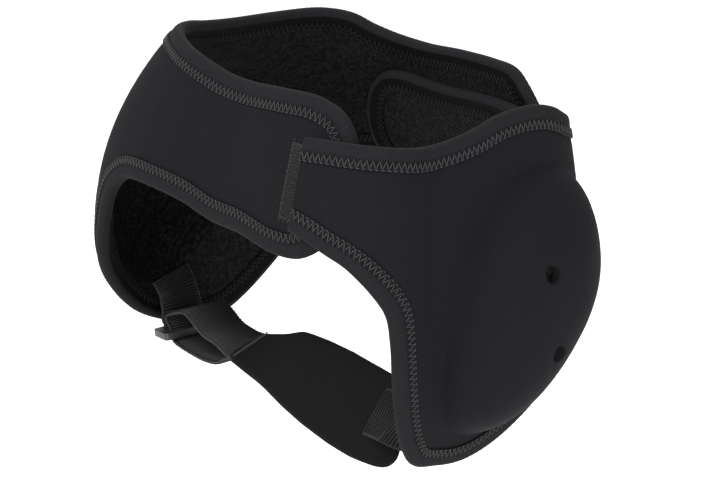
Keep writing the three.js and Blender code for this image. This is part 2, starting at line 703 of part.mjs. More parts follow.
// Slider's own frame: x runs back along its bars, y outward across them, z up out of its face
function buckleFrame() {
  const alongBars = new THREE.Vector3(Math.sin(BUCKLE_YAW), Math.cos(BUCKLE_YAW), 0);
  const outward = new THREE.Vector3(-Math.cos(BUCKLE_YAW), Math.sin(BUCKLE_YAW), 0);
  const acrossBars = outward.clone().multiplyScalar(Math.sin(BUCKLE_LEAN));
  acrossBars.addScaledVector(UP, Math.cos(BUCKLE_LEAN));
  const face = alongBars.clone().cross(acrossBars);
  return new THREE.Matrix4().makeBasis(alongBars, acrossBars, face).setPosition(place(BUCKLE_MIDDLE));
}

// Places round the slider's bars from the columns of a winding
function aroundBars(winding, gap) {
  const clear = BUCKLE_THICKNESS / 2 + gap + WEBBING_THICKNESS / 2;
  return winding.map(([y, z]) => {
    return new THREE.Vector3(0, (y * barPitch) / 2, z * clear).applyMatrix4(buckleFrame());
  });
}

// Far webbing: from under the pad's neck, up through the slider and back over the neck
function addFarWebbing() {
  const lift = PAD_THICKNESS / 2 + 2 * GAP + WEBBING_THICKNESS / 2;
  const neck = padStations().slice(NECK_SEAM);
  const layer = (side) => neck.map((row) => row.middle.clone().addScaledVector(row.face, side * lift));
  const middles = [
    ...layer(-1), ...LOWER_LAYER.map(place), ...aroundBars(SLIDER_WINDING, GAP),
    ...UPPER_LAYER.map(place), ...layer(1).reverse(),
  ];
  const acrosses = middles.map(barsForward);
  neck.forEach(({ across }, index) => {
    acrosses[index] = across;
    acrosses[acrosses.length - 1 - index] = across;
  });
  const widths = middles.map(() => WEBBING_WIDTH);
  const stations = stripStations(middles, acrosses, widths, FAR_WEBBING_SPANS);
  addMesh("chin_webbing_far", stripGeometry(stations, WEBBING_THICKNESS), webbing);
}

// Short webbing tab that hangs the slider from the right panel's inner face
function addBuckleTab() {
  const depth = -(HALF_NEOPRENE + BINDING_THICKNESS + TAB_STAND_OFF + WEBBING_THICKNESS / 2);
  const places = TAB_SEAM.map(flat);
  const seam = places.map((p) => wrapSheet(p, depth));
  const reach = new THREE.Vector2(WEBBING_WIDTH / 2, 0);
  const alongPanel = places.map((p) => {
    return wrapSheet(p.clone().add(reach), 0).sub(wrapSheet(p.clone().sub(reach), 0)).normalize();
  });
  const winding = aroundBars(TAB_WINDING, 2 * GAP);
  const middles = [...seam, place(TAB_DROP), ...winding];
  const turning = alongPanel[1].clone().lerp(barsForward(), TAB_TURN).normalize();
  const acrosses = [...alongPanel, turning, ...winding.map(barsForward)];
  const widths = middles.map(() => WEBBING_WIDTH);
  const stations = stripStations(middles, acrosses, widths, TAB_SPANS);
  addMesh("buckle_tab", stripGeometry(stations, WEBBING_THICKNESS), webbing);
}

addHeadWrap();
addLeftPanel();
addHookPatch();
addChinPad();
addNearWebbing();
addBuckle();
addFarWebbing();
addBuckleTab();

export default group;
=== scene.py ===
# Wrestling ear guard: a black neoprene head loop with two moulded ear domes and a chin strap.
# Metres, +Z up, the wearer faces -Y and the wearer's left is +X. The origin is the loop's centre.
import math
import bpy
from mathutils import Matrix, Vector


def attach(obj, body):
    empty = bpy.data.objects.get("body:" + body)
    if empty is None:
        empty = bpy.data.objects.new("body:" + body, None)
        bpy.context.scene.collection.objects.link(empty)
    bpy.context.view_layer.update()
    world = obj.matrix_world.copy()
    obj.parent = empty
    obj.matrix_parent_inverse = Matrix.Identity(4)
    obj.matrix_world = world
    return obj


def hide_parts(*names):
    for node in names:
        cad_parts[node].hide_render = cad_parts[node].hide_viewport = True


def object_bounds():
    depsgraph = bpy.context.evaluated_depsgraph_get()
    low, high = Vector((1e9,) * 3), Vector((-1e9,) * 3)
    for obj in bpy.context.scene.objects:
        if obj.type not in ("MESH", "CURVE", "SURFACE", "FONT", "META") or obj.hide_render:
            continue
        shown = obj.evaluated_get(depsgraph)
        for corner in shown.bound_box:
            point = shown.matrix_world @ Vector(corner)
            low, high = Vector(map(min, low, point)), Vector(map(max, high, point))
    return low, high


bl_info = {
    "name": "Wrestling Ear Guard",
    "version": (1, 0, 0),
    "blender": (4, 5, 0),
    "location": "3D View > Sidebar > Ear Guard",
    "description": "Builds a neoprene wrestling ear guard with moulded ear domes and a chin strap",
    "category": "Add Mesh",
}

import bmesh
import bpy
import numpy as np
from mathutils import Vector
from mathutils.geometry import delaunay_2d_cdt
from mathutils.kdtree import KDTree

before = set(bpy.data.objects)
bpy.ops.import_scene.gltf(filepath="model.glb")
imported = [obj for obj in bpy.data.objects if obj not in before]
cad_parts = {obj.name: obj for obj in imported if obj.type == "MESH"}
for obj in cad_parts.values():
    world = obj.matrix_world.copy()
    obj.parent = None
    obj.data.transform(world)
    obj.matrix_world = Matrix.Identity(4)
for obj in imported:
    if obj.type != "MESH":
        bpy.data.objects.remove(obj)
cad_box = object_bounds()

BODY = "root"
MM = 0.001


# Sizes and colours that a user may change

def length(name, description, millimetres):
    return bpy.props.FloatProperty(
        name=name, description=description, default=millimetres * MM, min=0.0,
        precision=5, subtype="DISTANCE", unit="LENGTH",
    )


def colour(name, description, value):
    return bpy.props.FloatVectorProperty(
        name=name, description=description, default=value, size=3, min=0.0, max=1.0,
        subtype="COLOR",
    )


class EarGuardSizes(bpy.types.PropertyGroup):
    """Real sizes of the ear guard"""

    loop_width: length("Loop width", "Width of the head loop", 154)
    loop_length: length("Loop length", "Length of the head loop, front to back", 116)
    panel_height: length("Panel height", "Height that the outlines are measured by", 130)
    neoprene: length("Neoprene thickness", "Thickness of the neoprene", 4.5)
    dome_height: length("Dome height", "How far an ear dome stands out of its panel", 21.5)
    dome_fillet: length("Dome fillet", "Half width of the hollow round a dome's foot", 2.4)
    vent: length("Vent diameter", "Diameter of a vent in a dome", 6.0)
    tape_width: length("Tape width", "Width of one side of the binding tape", 7)
    tape: length("Tape thickness", "Thickness of the binding tape", 0.75)
    patch: length("Patch thickness", "Thickness of the hook patch", 1.1)
    webbing_width: length("Webbing width", "Width of the chin webbing", 20)
    webbing: length("Webbing thickness", "Thickness of the chin webbing", 1.6)
    rib_pitch: length("Rib pitch", "Distance between two ribs of the webbing", 1.05)
    pad_width: length("Pad width", "Greatest width of the chin pad", 37)
    pad: length("Pad thickness", "Thickness of the chin pad", 5)
    slider: length("Slider thickness", "Thickness of the slider frame", 3.2)
    slider_side: length("Slider side", "Width of the slider's two ends", 3.6)
    slider_bar: length("Slider bar", "Width of the slider's bars", 2.4)
    slot_clearance: length("Slot clearance", "Room beside the webbing in a slot", 0.7)
    gap: length("Gap", "Room between two pieces that lie on each other", 0.5)
    layer_gap: length("Layer gap", "Room between the bindings of two layers", 0.6)
    stitch_pitch: length("Stitch pitch", "Distance between two stitches of the zigzag seam", 2.4)
    thread: length("Thread", "Diameter of the sewing thread", 0.42)
    mesh_step: length("Mesh step", "Distance between neighbouring mesh points", 2.2)


class EarGuardColours(bpy.types.PropertyGroup):
    """Colours of the ear guard"""

    neoprene: colour("Neoprene", "Outer jersey of the neoprene", (0.0044, 0.0046, 0.0055))
    lining: colour("Lining", "Fleece on the inside", (0.0047, 0.0045, 0.0043))
    tape: colour("Binding tape", "Binding tape", (0.0072, 0.0073, 0.0082))
    thread: colour("Thread", "Sewing thread", (0.03, 0.03, 0.032))
    hook: colour("Hook tape", "Hook tape on the strap", (0.003, 0.003, 0.003))
    pad: colour("Chin pad", "Cloth of the chin pad", (0.0036, 0.0036, 0.004))
    webbing: colour("Webbing", "Raised ribs of the webbing", (0.0115, 0.0115, 0.012))
    slider: colour("Slider", "Moulded slider", (0.01, 0.01, 0.0105))
    floor: colour("Floor", "Studio floor", (0.9, 0.9, 0.9))


# Plan of the loop at three heights. Columns: place, then x and y at the top, middle and low height,
# x as shares of half the loop's width and y of half its length; heights are shares of the panel's.
PLAN_HEIGHTS = [0.27, -0.23, -0.73]
PLAN = [
    ["front centre", 0.0, -1.03, 0.0, -1.45, 0.0, -1.59],
    ["front left", 0.52, -1.02, 0.65, -1.41, 0.65, -1.52],
    ["left front", 0.9, -0.72, 1.14, -1.07, 1.12, -1.03],
    ["left middle", 0.99, -0.03, 1.19, -0.14, 1.16, -0.09],
    ["left back", 0.915, 0.615, 1.058, 0.668, 0.99, 0.72],
    ["back left", 0.545, 0.86, 0.65, 1.0, 0.6, 1.07],
    ["back centre", 0.0, 0.93, 0.0, 1.07, 0.0, 1.14],
    ["back right", -0.545, 0.86, -0.65, 1.03, -0.6, 1.07],
    ["right back", -0.92, 0.55, -1.09, 0.66, -1.04, 0.72],
    ["right middle", -1.0, 0.0, -1.22, -0.1, -1.18, -0.09],
    ["right front", -0.9, -0.73, -1.215, -1.12, -1.13, -1.02],
    ["front right", -0.525, -1.04, -0.69, -1.47, -0.65, -1.52],
]

# Flat outlines. Columns: place around the loop as a share of its length from the front centre over
# the wearer's left, and height as a share of the panel height.
WRAP_OUTLINE = [
    # top edge of the back band, then of the strap over the forehead
    [0.441, 0.158], [0.469, 0.154], [0.509, 0.132], [0.551, 0.103], [0.58, 0.103],
    [0.603, 0.123], [0.622, 0.155], [0.645, 0.169], [0.683, 0.175], [0.747, 0.198],
    [0.783, 0.222], [0.811, 0.25], [0.84, 0.27], [0.87, 0.283], [0.918, 0.287],
    [0.948, 0.28], [0.977, 0.272], [1.008, 0.278], [1.049, 0.303], [1.084, 0.318],
    [1.102, 0.31], [1.117, 0.288],
    # rounded end of the strap
    [1.127, 0.24], [1.131, 0.173], [1.129, 0.09], [1.121, 0.01], [1.109, -0.045],
    # bottom edge of the strap
    [1.095, -0.08], [1.077, -0.09], [1.04, -0.085], [1.004, -0.097], [0.97, -0.085],
    [0.94, -0.086], [0.915, -0.098], [0.899, -0.12],
    # right ear panel: front, bottom and back edge
    [0.887, -0.165], [0.88, -0.215], [0.876, -0.29], [0.871, -0.385], [0.864, -0.47],
    [0.854, -0.545], [0.845, -0.615], [0.837, -0.68], [0.8265, -0.746], [0.8105, -0.799],
    [0.79, -0.838], [0.767, -0.853], [0.743, -0.845], [0.721, -0.81], [0.701, -0.755],
    [0.684, -0.69], [0.669, -0.6], [0.656, -0.5], [0.643, -0.413], [0.625, -0.356],
    # bottom edge and slanted end of the back band
    [0.6, -0.328], [0.55, -0.298], [0.5, -0.285], [0.45, -0.28], [0.405, -0.282],
    [0.391, -0.265], [0.388, -0.215], [0.395, -0.13], [0.406, -0.02], [0.42, 0.072],
    [0.431, 0.127],
]
LEFT_OUTLINE = [
    # top edge from the front tab's cut end to the rear tab
    [0.098, 0.212], [0.118, 0.216], [0.151, 0.214], [0.194, 0.212], [0.234, 0.224],
    [0.26, 0.241], [0.281, 0.244], [0.302, 0.235], [0.322, 0.209], [0.34, 0.166],
    [0.359, 0.125], [0.38, 0.097], [0.41, 0.082], [0.443, 0.07], [0.47, 0.053],
    [0.502, 0.028], [0.537, 0.012], [0.564, 0.009],
    # rounded end of the rear tab
    [0.582, -0.01], [0.593, -0.065], [0.597, -0.15], [0.595, -0.225], [0.586, -0.295],
    [0.57, -0.338],
    # bottom of the rear tab, back, bottom and front edge of the ear panel
    [0.545, -0.35], [0.5, -0.35], [0.455, -0.348], [0.42, -0.356], [0.392, -0.384],
    [0.367, -0.439], [0.3455, -0.509], [0.3215, -0.584], [0.2975, -0.65], [0.272, -0.706],
    [0.245, -0.749], [0.218, -0.762], [0.195, -0.739], [0.18, -0.7], [0.174, -0.635],
    [0.1705, -0.54], [0.1685, -0.39], [0.1672, -0.28], [0.164, -0.195], [0.1545, -0.122],
    [0.141, -0.063], [0.126, -0.034], [0.112, -0.014], [0.098, -0.002],
]
# Outline of the left ear dome; the right dome is the same shape turned round its own middle
DOME_OUTLINE = [
    [0.33, 0.0], [0.31, 0.056], [0.286, 0.073], [0.264, 0.053], [0.244, -0.016],
    [0.228, -0.115], [0.213, -0.265], [0.206, -0.385], [0.203, -0.48], [0.205, -0.575],
    [0.212, -0.635], [0.228, -0.67], [0.25, -0.66], [0.276, -0.595], [0.302, -0.495],
    [0.325, -0.375], [0.338, -0.25], [0.339, -0.115],
]
# A dome's height falls from its middle to its rim as (1 - share ** DOME_FLATNESS) ** DOME_FULLNESS
DOME_FLATNESS = 2.9
DOME_FULLNESS = 0.8
LEFT_DOME_MIDDLE = [0.271, -0.31]
RIGHT_DOME_MIDDLE = [0.764, -0.33]
VENTS = [[0.2665, -0.172], [0.269, -0.407]]
# The left panel lies over the strap at the front and inside the back band at the back
FRONT_STEP = [0.145, 0.2]
REAR_STEP = [0.343, 0.375]
REAR_STEP_HEIGHTS = [-0.6, -0.33]
PATCH_CORNERS = [[0.078, -0.003], [0.1, 0.205]]

# Chin pad. Columns: x as a share of half the loop's width, y of half its length, z of the panel
# height, width as a share of the pad's, tilt in degrees and turn toward the slider's bars.
PAD_STATIONS = [
    [1.03, -0.765, -0.659, 0.83, 28, 0],
    [0.965, -0.825, -0.653, 0.94, 42, 0],
    [0.86, -0.85, -0.652, 0.99, 47, 0],
    [0.7, -0.86, -0.652, 0.99, 47, 0],
    [0.48, -0.86, -0.651, 0.96, 47, 0],
    [0.28, -0.85, -0.654, 0.89, 47, 0],
    [0.1, -0.835, -0.662, 0.79, 47, 0],
    [-0.06, -0.82, -0.685, 0.66, 47, 0.25],
    [-0.3, -0.8, -0.715, 0.55, 47, 0.7],
]
PAD_TILT = math.radians(47)
# The far webbing ends inside the pad's neck, along these rows of so many stations
NECK_SPANS = 26
NECK_ROWS = [24, 25, 26]
NEAR_WEBBING_END = [0.915, -0.855, -0.63]
NEAR_WEBBING_TURN = [1.02, -0.82, -0.6335]
NEAR_WEBBING_SEAM = [[0.184, -0.645], [0.197, -0.64], [0.212, -0.635]]
SLIDER_MIDDLE = [-0.983, -0.703, -0.828]
SLIDER_LEAN = math.radians(104)
SLIDER_YAW = math.radians(8)
# Far webbing: places of its lower and upper layer, and between them its way round the slider's
# bars. Columns there: up across the bars as a share of half their pitch, and out of the slider's
# face as a share of the clear height over a bar.
LOWER_LAYER = [
    [-0.422, -0.778, -0.787],
    [-0.552, -0.764, -0.815],
    [-0.721, -0.747, -0.832],
]
SLIDER_WINDING = [
    [-2.6, -1.35], [-1.77, -1.15], [-1.1, -0.75], [-1, 0], [-0.75, 1],
    [0.04, 1.6], [0.22, 2.17], [-0.15, 2.76], [-1.04, 3.1],
]
UPPER_LAYER = [
    [-0.795, -0.721, -0.703],
    [-0.722, -0.733, -0.707],
    [-0.579, -0.76, -0.722],
    [-0.422, -0.783, -0.714],
]
# Tab: its seam on the panel's inner face, a place below that, and its way round the outer bar
TAB_SEAM = [[0.791, -0.695], [0.792, -0.73]]
TAB_DROP = [-1.06, -0.69, -0.769]
TAB_WINDING = [[1.7, 1.3], [1.2, 1.1], [1, 0], [1.3, -1], [1.9, -1.1]]
TAB_STAND_OFF = 2.6 * MM


# Fineness of the curves: steps in one span of an outline, and steps round the whole loop
SPAN_STEPS = 40
LOOP_STEPS = 1200
# Mesh rings inside a dome's outline in millimetres, their points' spacing as a share of the mesh
# step, rings round a vent as shares of its radius, and how far other points keep from them
DOME_RINGS = [-3.6, -1.8, 0, 1.4, 3.0, 5.0, 7.2]
RING_SPACING = 0.85
VENT_RINGS = [1, 1.22, 1.55]
VENT_POINTS = 28
LATTICE_ROOM = 0.62
# Spacing of the points of a panel's edge as a share of the mesh step, and of its tape
EDGE_SPACING = 0.9
TAPE_STEP = 0.8 * MM
# The neoprene is pressed to this share of its thickness where it is bound
PRESSED = 0.72
PRESSED_FROM = 1.5 * MM
PRESSED_BEYOND = 2.5 * MM
# Binding tape as thick as the CAD model has it, and the seams on it as shares of its width
CAD_TAPE = 1.1 * MM
TAPE_FOLD = 2.4 * MM
ZIGZAG_PLACE = 0.7
ZIGZAG_SWING = 0.23
NEEDLE_MARK = 0.7 * MM
# Webbing: distance of its sections, and its ground between the ribs as a share of its thickness
WEBBING_STEP = 1.2 * MM
WEBBING_GROUND = 0.62
# Rounding of the edges of the neoprene and of the hook patch
NEOPRENE_ROUND = 0.5 * MM
PATCH_ROUND = 0.2 * MM
# Hook patch: cells of its mesh, its room over the neoprene, its hooks and its seams
PATCH_CELLS = [14, 28]
PATCH_LIFT = 0.1 * MM
PATCH_SEAM_POINTS = 30
HOOK_PITCH = 1.15 * MM
HOOK_HEIGHT = 0.8 * MM
# Chin pad: its mesh, the rounding of its corners and its rim, and how far its middle swells
PAD_SPANS = 110
PAD_COLUMNS = 30
PAD_CORNER = 5 * MM
PAD_RIM = 2.6 * MM
PAD_CROWN = 0.35 * MM
# Slider: rounding of its outline, its slots and its edges
SLIDER_CORNER = 1.6 * MM
SLOT_CORNER = 0.6 * MM
SLIDER_ROUND = 0.5 * MM


# Curves and surfaces

def hermite(start, end, leave, arrive, turn):
    square = -3 * start + 3 * end - 2 * leave - arrive
    cube = 2 * start - 2 * end + leave + arrive
    return start + leave * turn + square * turn ** 2 + cube * turn ** 3


def smooth_step(value, low, high):
    share = np.clip((value - low) / (high - low), 0, 1)
    return share * share * (3 - 2 * share)


def unit(vectors):
    return vectors / np.maximum(np.linalg.norm(vectors, axis=-1, keepdims=True), 1e-12)


def run_lengths(points):
    """How far along a line of points each of them lies"""
    return np.concatenate([[0], np.cumsum(np.linalg.norm(np.diff(points, axis=0), axis=1))])


def closed_spline(points, turn):
    """Uniform closed curve through points, at places counted in points"""
    first = np.floor(turn).astype(int)
    before, start, end, after = (points[(first + step) % len(points)] for step in (-1, 0, 1, 2))
    return hermite(start, end, (end - before) / 2, (after - start) / 2, (turn - first)[:, None])


def soft_spline(points, closed, turn):
    """Centripetal curve through points, at places counted in points"""
    points = np.asarray(points, float)
    if closed:
        padded = np.vstack([points[-1:], points, points[:2]])
        last = len(points) - 1
    else:
        padded = np.vstack([2 * points[0] - points[1], points, 2 * points[-1] - points[-2]])
        last = len(points) - 2
    first = np.clip(np.floor(turn).astype(int), 0, last)
    before, start, end, after = (padded[first + step] for step in range(4))
    gaps = [np.sqrt(np.linalg.norm(b - a, axis=1, keepdims=True))
            for a, b in ((before, start), (start, end), (end, after))]
    middle = (end - start) / gaps[1]
    leave = (start - before) / gaps[0] - (end - before) / (gaps[0] + gaps[1]) + middle
    arrive = middle - (after - start) / (gaps[1] + gaps[2]) + (after - end) / gaps[2]
    return hermite(start, end, leave * gaps[1], arrive * gaps[1], (turn - first)[:, None])


def spaced(points, closed, step):
    """Evenly spaced places on the centripetal curve through points"""
    spans = len(points) if closed else len(points) - 1
    run = soft_spline(points, closed, np.linspace(0, spans, spans * SPAN_STEPS + 1))
    lengths = run_lengths(run)
    count = round(lengths[-1] / step)
    places = np.linspace(0, lengths[-1], count + 1)
    found = np.stack([np.interp(places, lengths, column) for column in run.T], axis=1)
    return found[:-1] if closed else found


class LoopForm:
    """The closed surface round the head on which every flat outline is formed"""

    def __init__(self, sizes):
        half = np.array([sizes.loop_width, sizes.loop_length]) / 2
        self.height = sizes.panel_height
        self.levels = [np.array([row[c:c + 2] for row in PLAN]) * half for c in (1, 3, 5)]
        self.turns = np.linspace(0, len(PLAN), LOOP_STEPS + 1)
        self.lengths = run_lengths(closed_spline(self.levels[1], self.turns))
        self.size = self.lengths[-1]

    def point(self, flat):
        turn = np.interp(flat[:, 0] % self.size, self.lengths, self.turns)
        share = flat[:, 1] / self.height
        found = np.zeros((len(flat), 3))
        for level, height in enumerate(PLAN_HEIGHTS):
            others = [other for other in PLAN_HEIGHTS if other != height]
            weight = np.prod([(share - other) / (height - other) for other in others], axis=0)
            found[:, :2] += closed_spline(self.levels[level], turn) * weight[:, None]
        found[:, 2] = flat[:, 1]
        return found

    def flat(self, rows):
        return np.asarray(rows, float) * [self.size, self.height]


def surface_normal(surface, flat, step=0.5 * MM):
    along = surface(flat + [step, 0]) - surface(flat - [step, 0])
    upward = surface(flat + [0, step]) - surface(flat - [0, step])
    return unit(np.cross(along, upward))


class Sheet:
    """A flat cut formed over the loop, lifted from it by its own height function"""

    def __init__(self, form, lift):
        self.form = form
        self.lift = lift

    def middle(self, flat):
        lifted = self.lift(flat)[:, None]
        return self.form.point(flat) + surface_normal(self.form.point, flat) * lifted

    def normal(self, flat):
        return surface_normal(self.middle, flat, 1.5 * MM)

    def place(self, flat, depth):
        return self.middle(flat) + self.normal(flat) * np.asarray(depth).reshape(-1, 1)

    def inward(self, flat, closed):
        """Step in the flat cut that goes one unit inward from its edge on the formed sheet"""
        step = 0.5 * MM
        spans = [np.linalg.norm(self.middle(flat + axis) - self.middle(flat - axis), axis=1)
                 for axis in np.eye(2) * step]
        scale = np.stack(spans, axis=1) / (2 * step)
        after = np.roll(flat, -1, axis=0)
        before = np.roll(flat, 1, axis=0)
        if not closed:
            after[-1] = flat[-1]
            before[0] = flat[0]
        run = unit((after - before) * scale)
        return np.stack([-run[:, 1] / scale[:, 0], run[:, 0] / scale[:, 1]], axis=1)


def inside(flat, polygon):
    """True for each flat point inside the polygon"""
    found = np.zeros(len(flat), bool)
    for a, b in zip(polygon, np.roll(polygon, -1, axis=0)):
        crosses = (a[1] > flat[:, 1]) != (b[1] > flat[:, 1])
        if a[1] != b[1]:
            slope = (b[0] - a[0]) / (b[1] - a[1])
            found ^= crosses & (flat[:, 0] < a[0] + slope * (flat[:, 1] - a[1]))
    return found


def distance_to(flat, others):
    """Distance from each flat point to the nearest of the others"""
    tree = KDTree(len(others))
    for index, other in enumerate(others):
        tree.insert((other[0], other[1], 0), index)
    tree.balance()
    return np.array([tree.find((p[0], p[1], 0))[2] for p in flat])


class Dome:
    """A moulded ear dome: its outline, its height over the panel and its vents"""

    def __init__(self, form, sizes, middle_row, side):
        source = form.flat(LEFT_DOME_MIDDLE)
        self.middle = form.flat(middle_row)
        self.height = sizes.dome_height
        self.fillet = sizes.dome_fillet
        turned = np.array([side, 1])
        self.offsets = (spaced(form.flat(DOME_OUTLINE), True, 1 * MM) - source) * turned
        angles = np.arctan2(self.offsets[:, 1], self.offsets[:, 0])
        order = np.argsort(angles)
        self.angles = angles[order]
        self.radii = np.linalg.norm(self.offsets, axis=1)[order]
        self.vents = (form.flat(VENTS) - source) * turned + self.middle

    def reach(self, offset):
        angle = np.arctan2(offset[:, 1], offset[:, 0])
        return np.interp(angle, self.angles, self.radii, period=2 * math.pi)

    def bulge(self, share):
        return self.height * (1 - np.clip(share, 0, 1) ** DOME_FLATNESS) ** DOME_FULLNESS

    def lift(self, flat):
        """Height over the panel, with a hollow fillet round the dome's foot"""
        offset = flat - self.middle
        reach = self.reach(offset)
        share = np.linalg.norm(offset, axis=1) / reach
        inset = (1 - share) * reach
        rise = ((inset + self.fillet) / (2 * self.fillet)) ** 2
        foot = np.where(inset < -self.fillet, 0, self.bulge(1 - self.fillet / reach) * rise)
        return np.where(inset > self.fillet, self.bulge(share), foot)

    def ring(self, inset, step):
        """Points that follow the dome's outline at a distance inside it"""
        radii = np.linalg.norm(self.offsets, axis=1, keepdims=True)
        ring = self.offsets * (1 - inset / radii)
        skip = max(1, round(step / (np.linalg.norm(ring[1] - ring[0]) + 1e-9)))
        return ring[::skip] + self.middle


# Meshes

def linked(name, data):
    item = bpy.data.objects.new(name, data)
    bpy.context.scene.collection.objects.link(item)
    return item


def plain_mesh(item):
    """The mesh that an object's modifiers make of it"""
    bpy.context.view_layer.update()
    evaluated = item.evaluated_get(bpy.context.evaluated_depsgraph_get())
    return bpy.data.meshes.new_from_object(evaluated)


def set_smooth(mesh, smooth=True):
    mesh.polygons.foreach_set("use_smooth", np.full(len(mesh.polygons), smooth))


def new_piece(name, vertices, faces, materials, indices=None, flats=None, smooth=True):
    """A mesh object at the origin, with each corner's flat place as its UV"""
    mesh = bpy.data.meshes.new(name)
    mesh.from_pydata([tuple(v) for v in vertices], [], [tuple(map(int, f)) for f in faces])
    for material in materials:
        mesh.materials.append(material)
    if indices is not None:
        mesh.polygons.foreach_set("material_index", np.asarray(indices, np.int32))
    if flats is not None:
        corners = np.zeros(len(mesh.loops), np.int32)
        mesh.loops.foreach_get("vertex_index", corners)
        layer = mesh.uv_layers.new(name="Cut")
        layer.data.foreach_set("uv", np.asarray(flats, np.float32)[corners].ravel())
    set_smooth(mesh, smooth)
    mesh.update()
    return linked(name, mesh)


def settle(piece, slot, *nodes):
    """Put a finished piece on the body, in place of its CAD nodes"""
    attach(piece, BODY)
    if nodes:
        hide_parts(*nodes)
    return piece


def triangulate(points, loops):
    """Flat points joined by counterclockwise triangles, with the loops kept as edges"""
    edges = [(int(a), int(b)) for loop in loops for a, b in zip(loop, np.roll(loop, -1))]
    found = delaunay_2d_cdt([Vector(p) for p in points], edges, [], 0, 1e-7)
    flats = np.array([tuple(p) for p in found[0]])
    triangles = np.array(found[2])
    a, b, c = (flats[triangles[:, k]] for k in range(3))
    turned = np.cross(b - a, c - a) < 0
    triangles[turned] = triangles[turned][:, ::-1]
    return flats, triangles


def vent_rim(vent, radius):
    """A slightly ragged round hole"""
    angles = np.linspace(0, 2 * math.pi, VENT_POINTS, endpoint=False)
    ragged = 1 + 0.05 * np.sin(3 * angles + vent[0] * 900) + 0.03 * np.sin(7 * angles)
    return np.stack([np.cos(angles), np.sin(angles)], axis=1) * (radius * ragged)[:, None]


def lattice(low, high, step):
    """Flat points in rows of even triangles"""
    rows = []
    for index, y in enumerate(np.arange(low[1], high[1], step * math.sqrt(0.75))):
        xs = np.arange(low[0] + 0.5 * step * (index % 2), high[0], step)
        rows.append(np.stack([xs, np.full(len(xs), y)], axis=1))
    return np.vstack(rows)


def fill_cut(edge, dome, vent_radius, step):
    """Points of a flat cut, its triangles, and the triangles that would fill the dome's vents"""
    groups = [edge]
    loops = [np.arange(len(edge))]
    for inset in DOME_RINGS:
        ring = dome.ring(inset * MM, RING_SPACING * step)
        near = np.min(np.linalg.norm(ring[:, None] - dome.vents[None], axis=2), axis=1)
        groups.append(ring[near > 2 * vent_radius])
    total = sum(len(group) for group in groups)
    holes = []
    for vent in dome.vents:
        rim = vent_rim(vent, vent_radius)
        holes.append(vent + rim)
        groups += [vent + rim * spread for spread in VENT_RINGS]
        loops.append(total + np.arange(len(rim)))
        total += len(VENT_RINGS) * len(rim)
    fixed = np.vstack(groups)
    loose = lattice(edge.min(axis=0), edge.max(axis=0), step)
    in_vent = np.any([inside(loose, hole) for hole in holes], axis=0)
    loose = loose[inside(loose, edge) & ~in_vent]
    loose = loose[distance_to(loose, fixed) > LATTICE_ROOM * step]
    flats, triangles = triangulate(np.vstack([fixed, loose]), loops)
    middles = flats[triangles].mean(axis=1)
    in_vent = np.any([inside(middles, hole) for hole in holes], axis=0)
    return flats, triangles[inside(middles, edge) & ~in_vent], triangles[in_vent]


def free_edges(triangles):
    pairs = np.concatenate([triangles[:, [0, 1]], triangles[:, [1, 2]], triangles[:, [2, 0]]])
    known = set(map(tuple, pairs.tolist()))
    return np.array([pair for pair in known if (pair[1], pair[0]) not in known])


def shell_mesh(sheet, flats, triangles, plugs, half, rounding):
    """Two faces of a sheet with rounded walls along its free edges; plugs close its vents inside"""
    used = np.unique(triangles)
    number = np.zeros(len(flats), int)
    number[used] = np.arange(len(used))
    flats = flats[used]
    triangles = number[triangles]
    plugs = number[plugs]
    edges = free_edges(triangles)
    half = half[used]
    inset = np.zeros_like(flats)
    for a, b in ((0, 1), (1, 0)):
        run = flats[edges[:, 1]] - flats[edges[:, 0]]
        np.add.at(inset, edges[:, a], np.stack([-run[:, 1], run[:, 0]], axis=1))
    rim = np.unique(edges)
    inset[rim] = unit(inset[rim]) * rounding
    count = len(flats)
    slot = np.full(count, -1)
    slot[rim] = np.arange(len(rim))
    vertices = [sheet.place(flats + inset, half), sheet.place(flats + inset, -half)]
    vertices.append(sheet.place(flats[rim], half[rim] - rounding))
    vertices.append(sheet.place(flats[rim], rounding - half[rim]))
    upper = 2 * count
    lower = upper + len(rim)
    faces = [tuple(t) for t in triangles]
    indices = [0] * len(faces)
    inner = np.vstack([triangles, plugs])
    faces += [(count + a, count + c, count + b) for a, b, c in inner]
    faces += [tuple(lower + slot[plug]) for plug in plugs]
    indices += [1] * (len(inner) + len(plugs))
    plugged = set(np.unique(plugs).tolist())
    for a, b in edges:
        faces.append((b, a, upper + slot[a], upper + slot[b]))
        faces.append((upper + slot[b], upper + slot[a], lower + slot[a], lower + slot[b]))
        indices += [0, 0]
        if a not in plugged:
            faces.append((lower + slot[b], lower + slot[a], count + a, count + b))
            indices.append(1)
    flats = np.vstack([flats, flats, flats[rim], flats[rim]])
    return np.vstack(vertices), faces, indices, flats


def sweep_faces(sections, size, closed):
    """Faces that join rings of equal size, closed on itself or capped"""
    faces = []
    for span in range(sections if closed else sections - 1):
        here = span * size
        after = ((span + 1) % sections) * size
        for corner in range(size):
            other = (corner + 1) % size
            faces.append((here + corner, after + corner, after + other, here + other))
    if not closed:
        faces.append(tuple(range(size)))
        faces.append(tuple(range(sections * size - 1, (sections - 1) * size - 1, -1)))
    return faces


def squeezed(sizes, distance):
    """Half the neoprene's thickness, pressed together under the binding tape"""
    share = smooth_step(distance, PRESSED_FROM, sizes.tape_width + PRESSED_BEYOND)
    return sizes.neoprene / 2 * (PRESSED + (1 - PRESSED) * share)


def outside(points):
    """Points of a closed flat outline in counterclockwise order"""
    x, y = points.T
    area = np.dot(x, np.roll(y, -1)) - np.dot(np.roll(x, -1), y)
    return points[::-1] if area < 0 else points


# Geometry Nodes

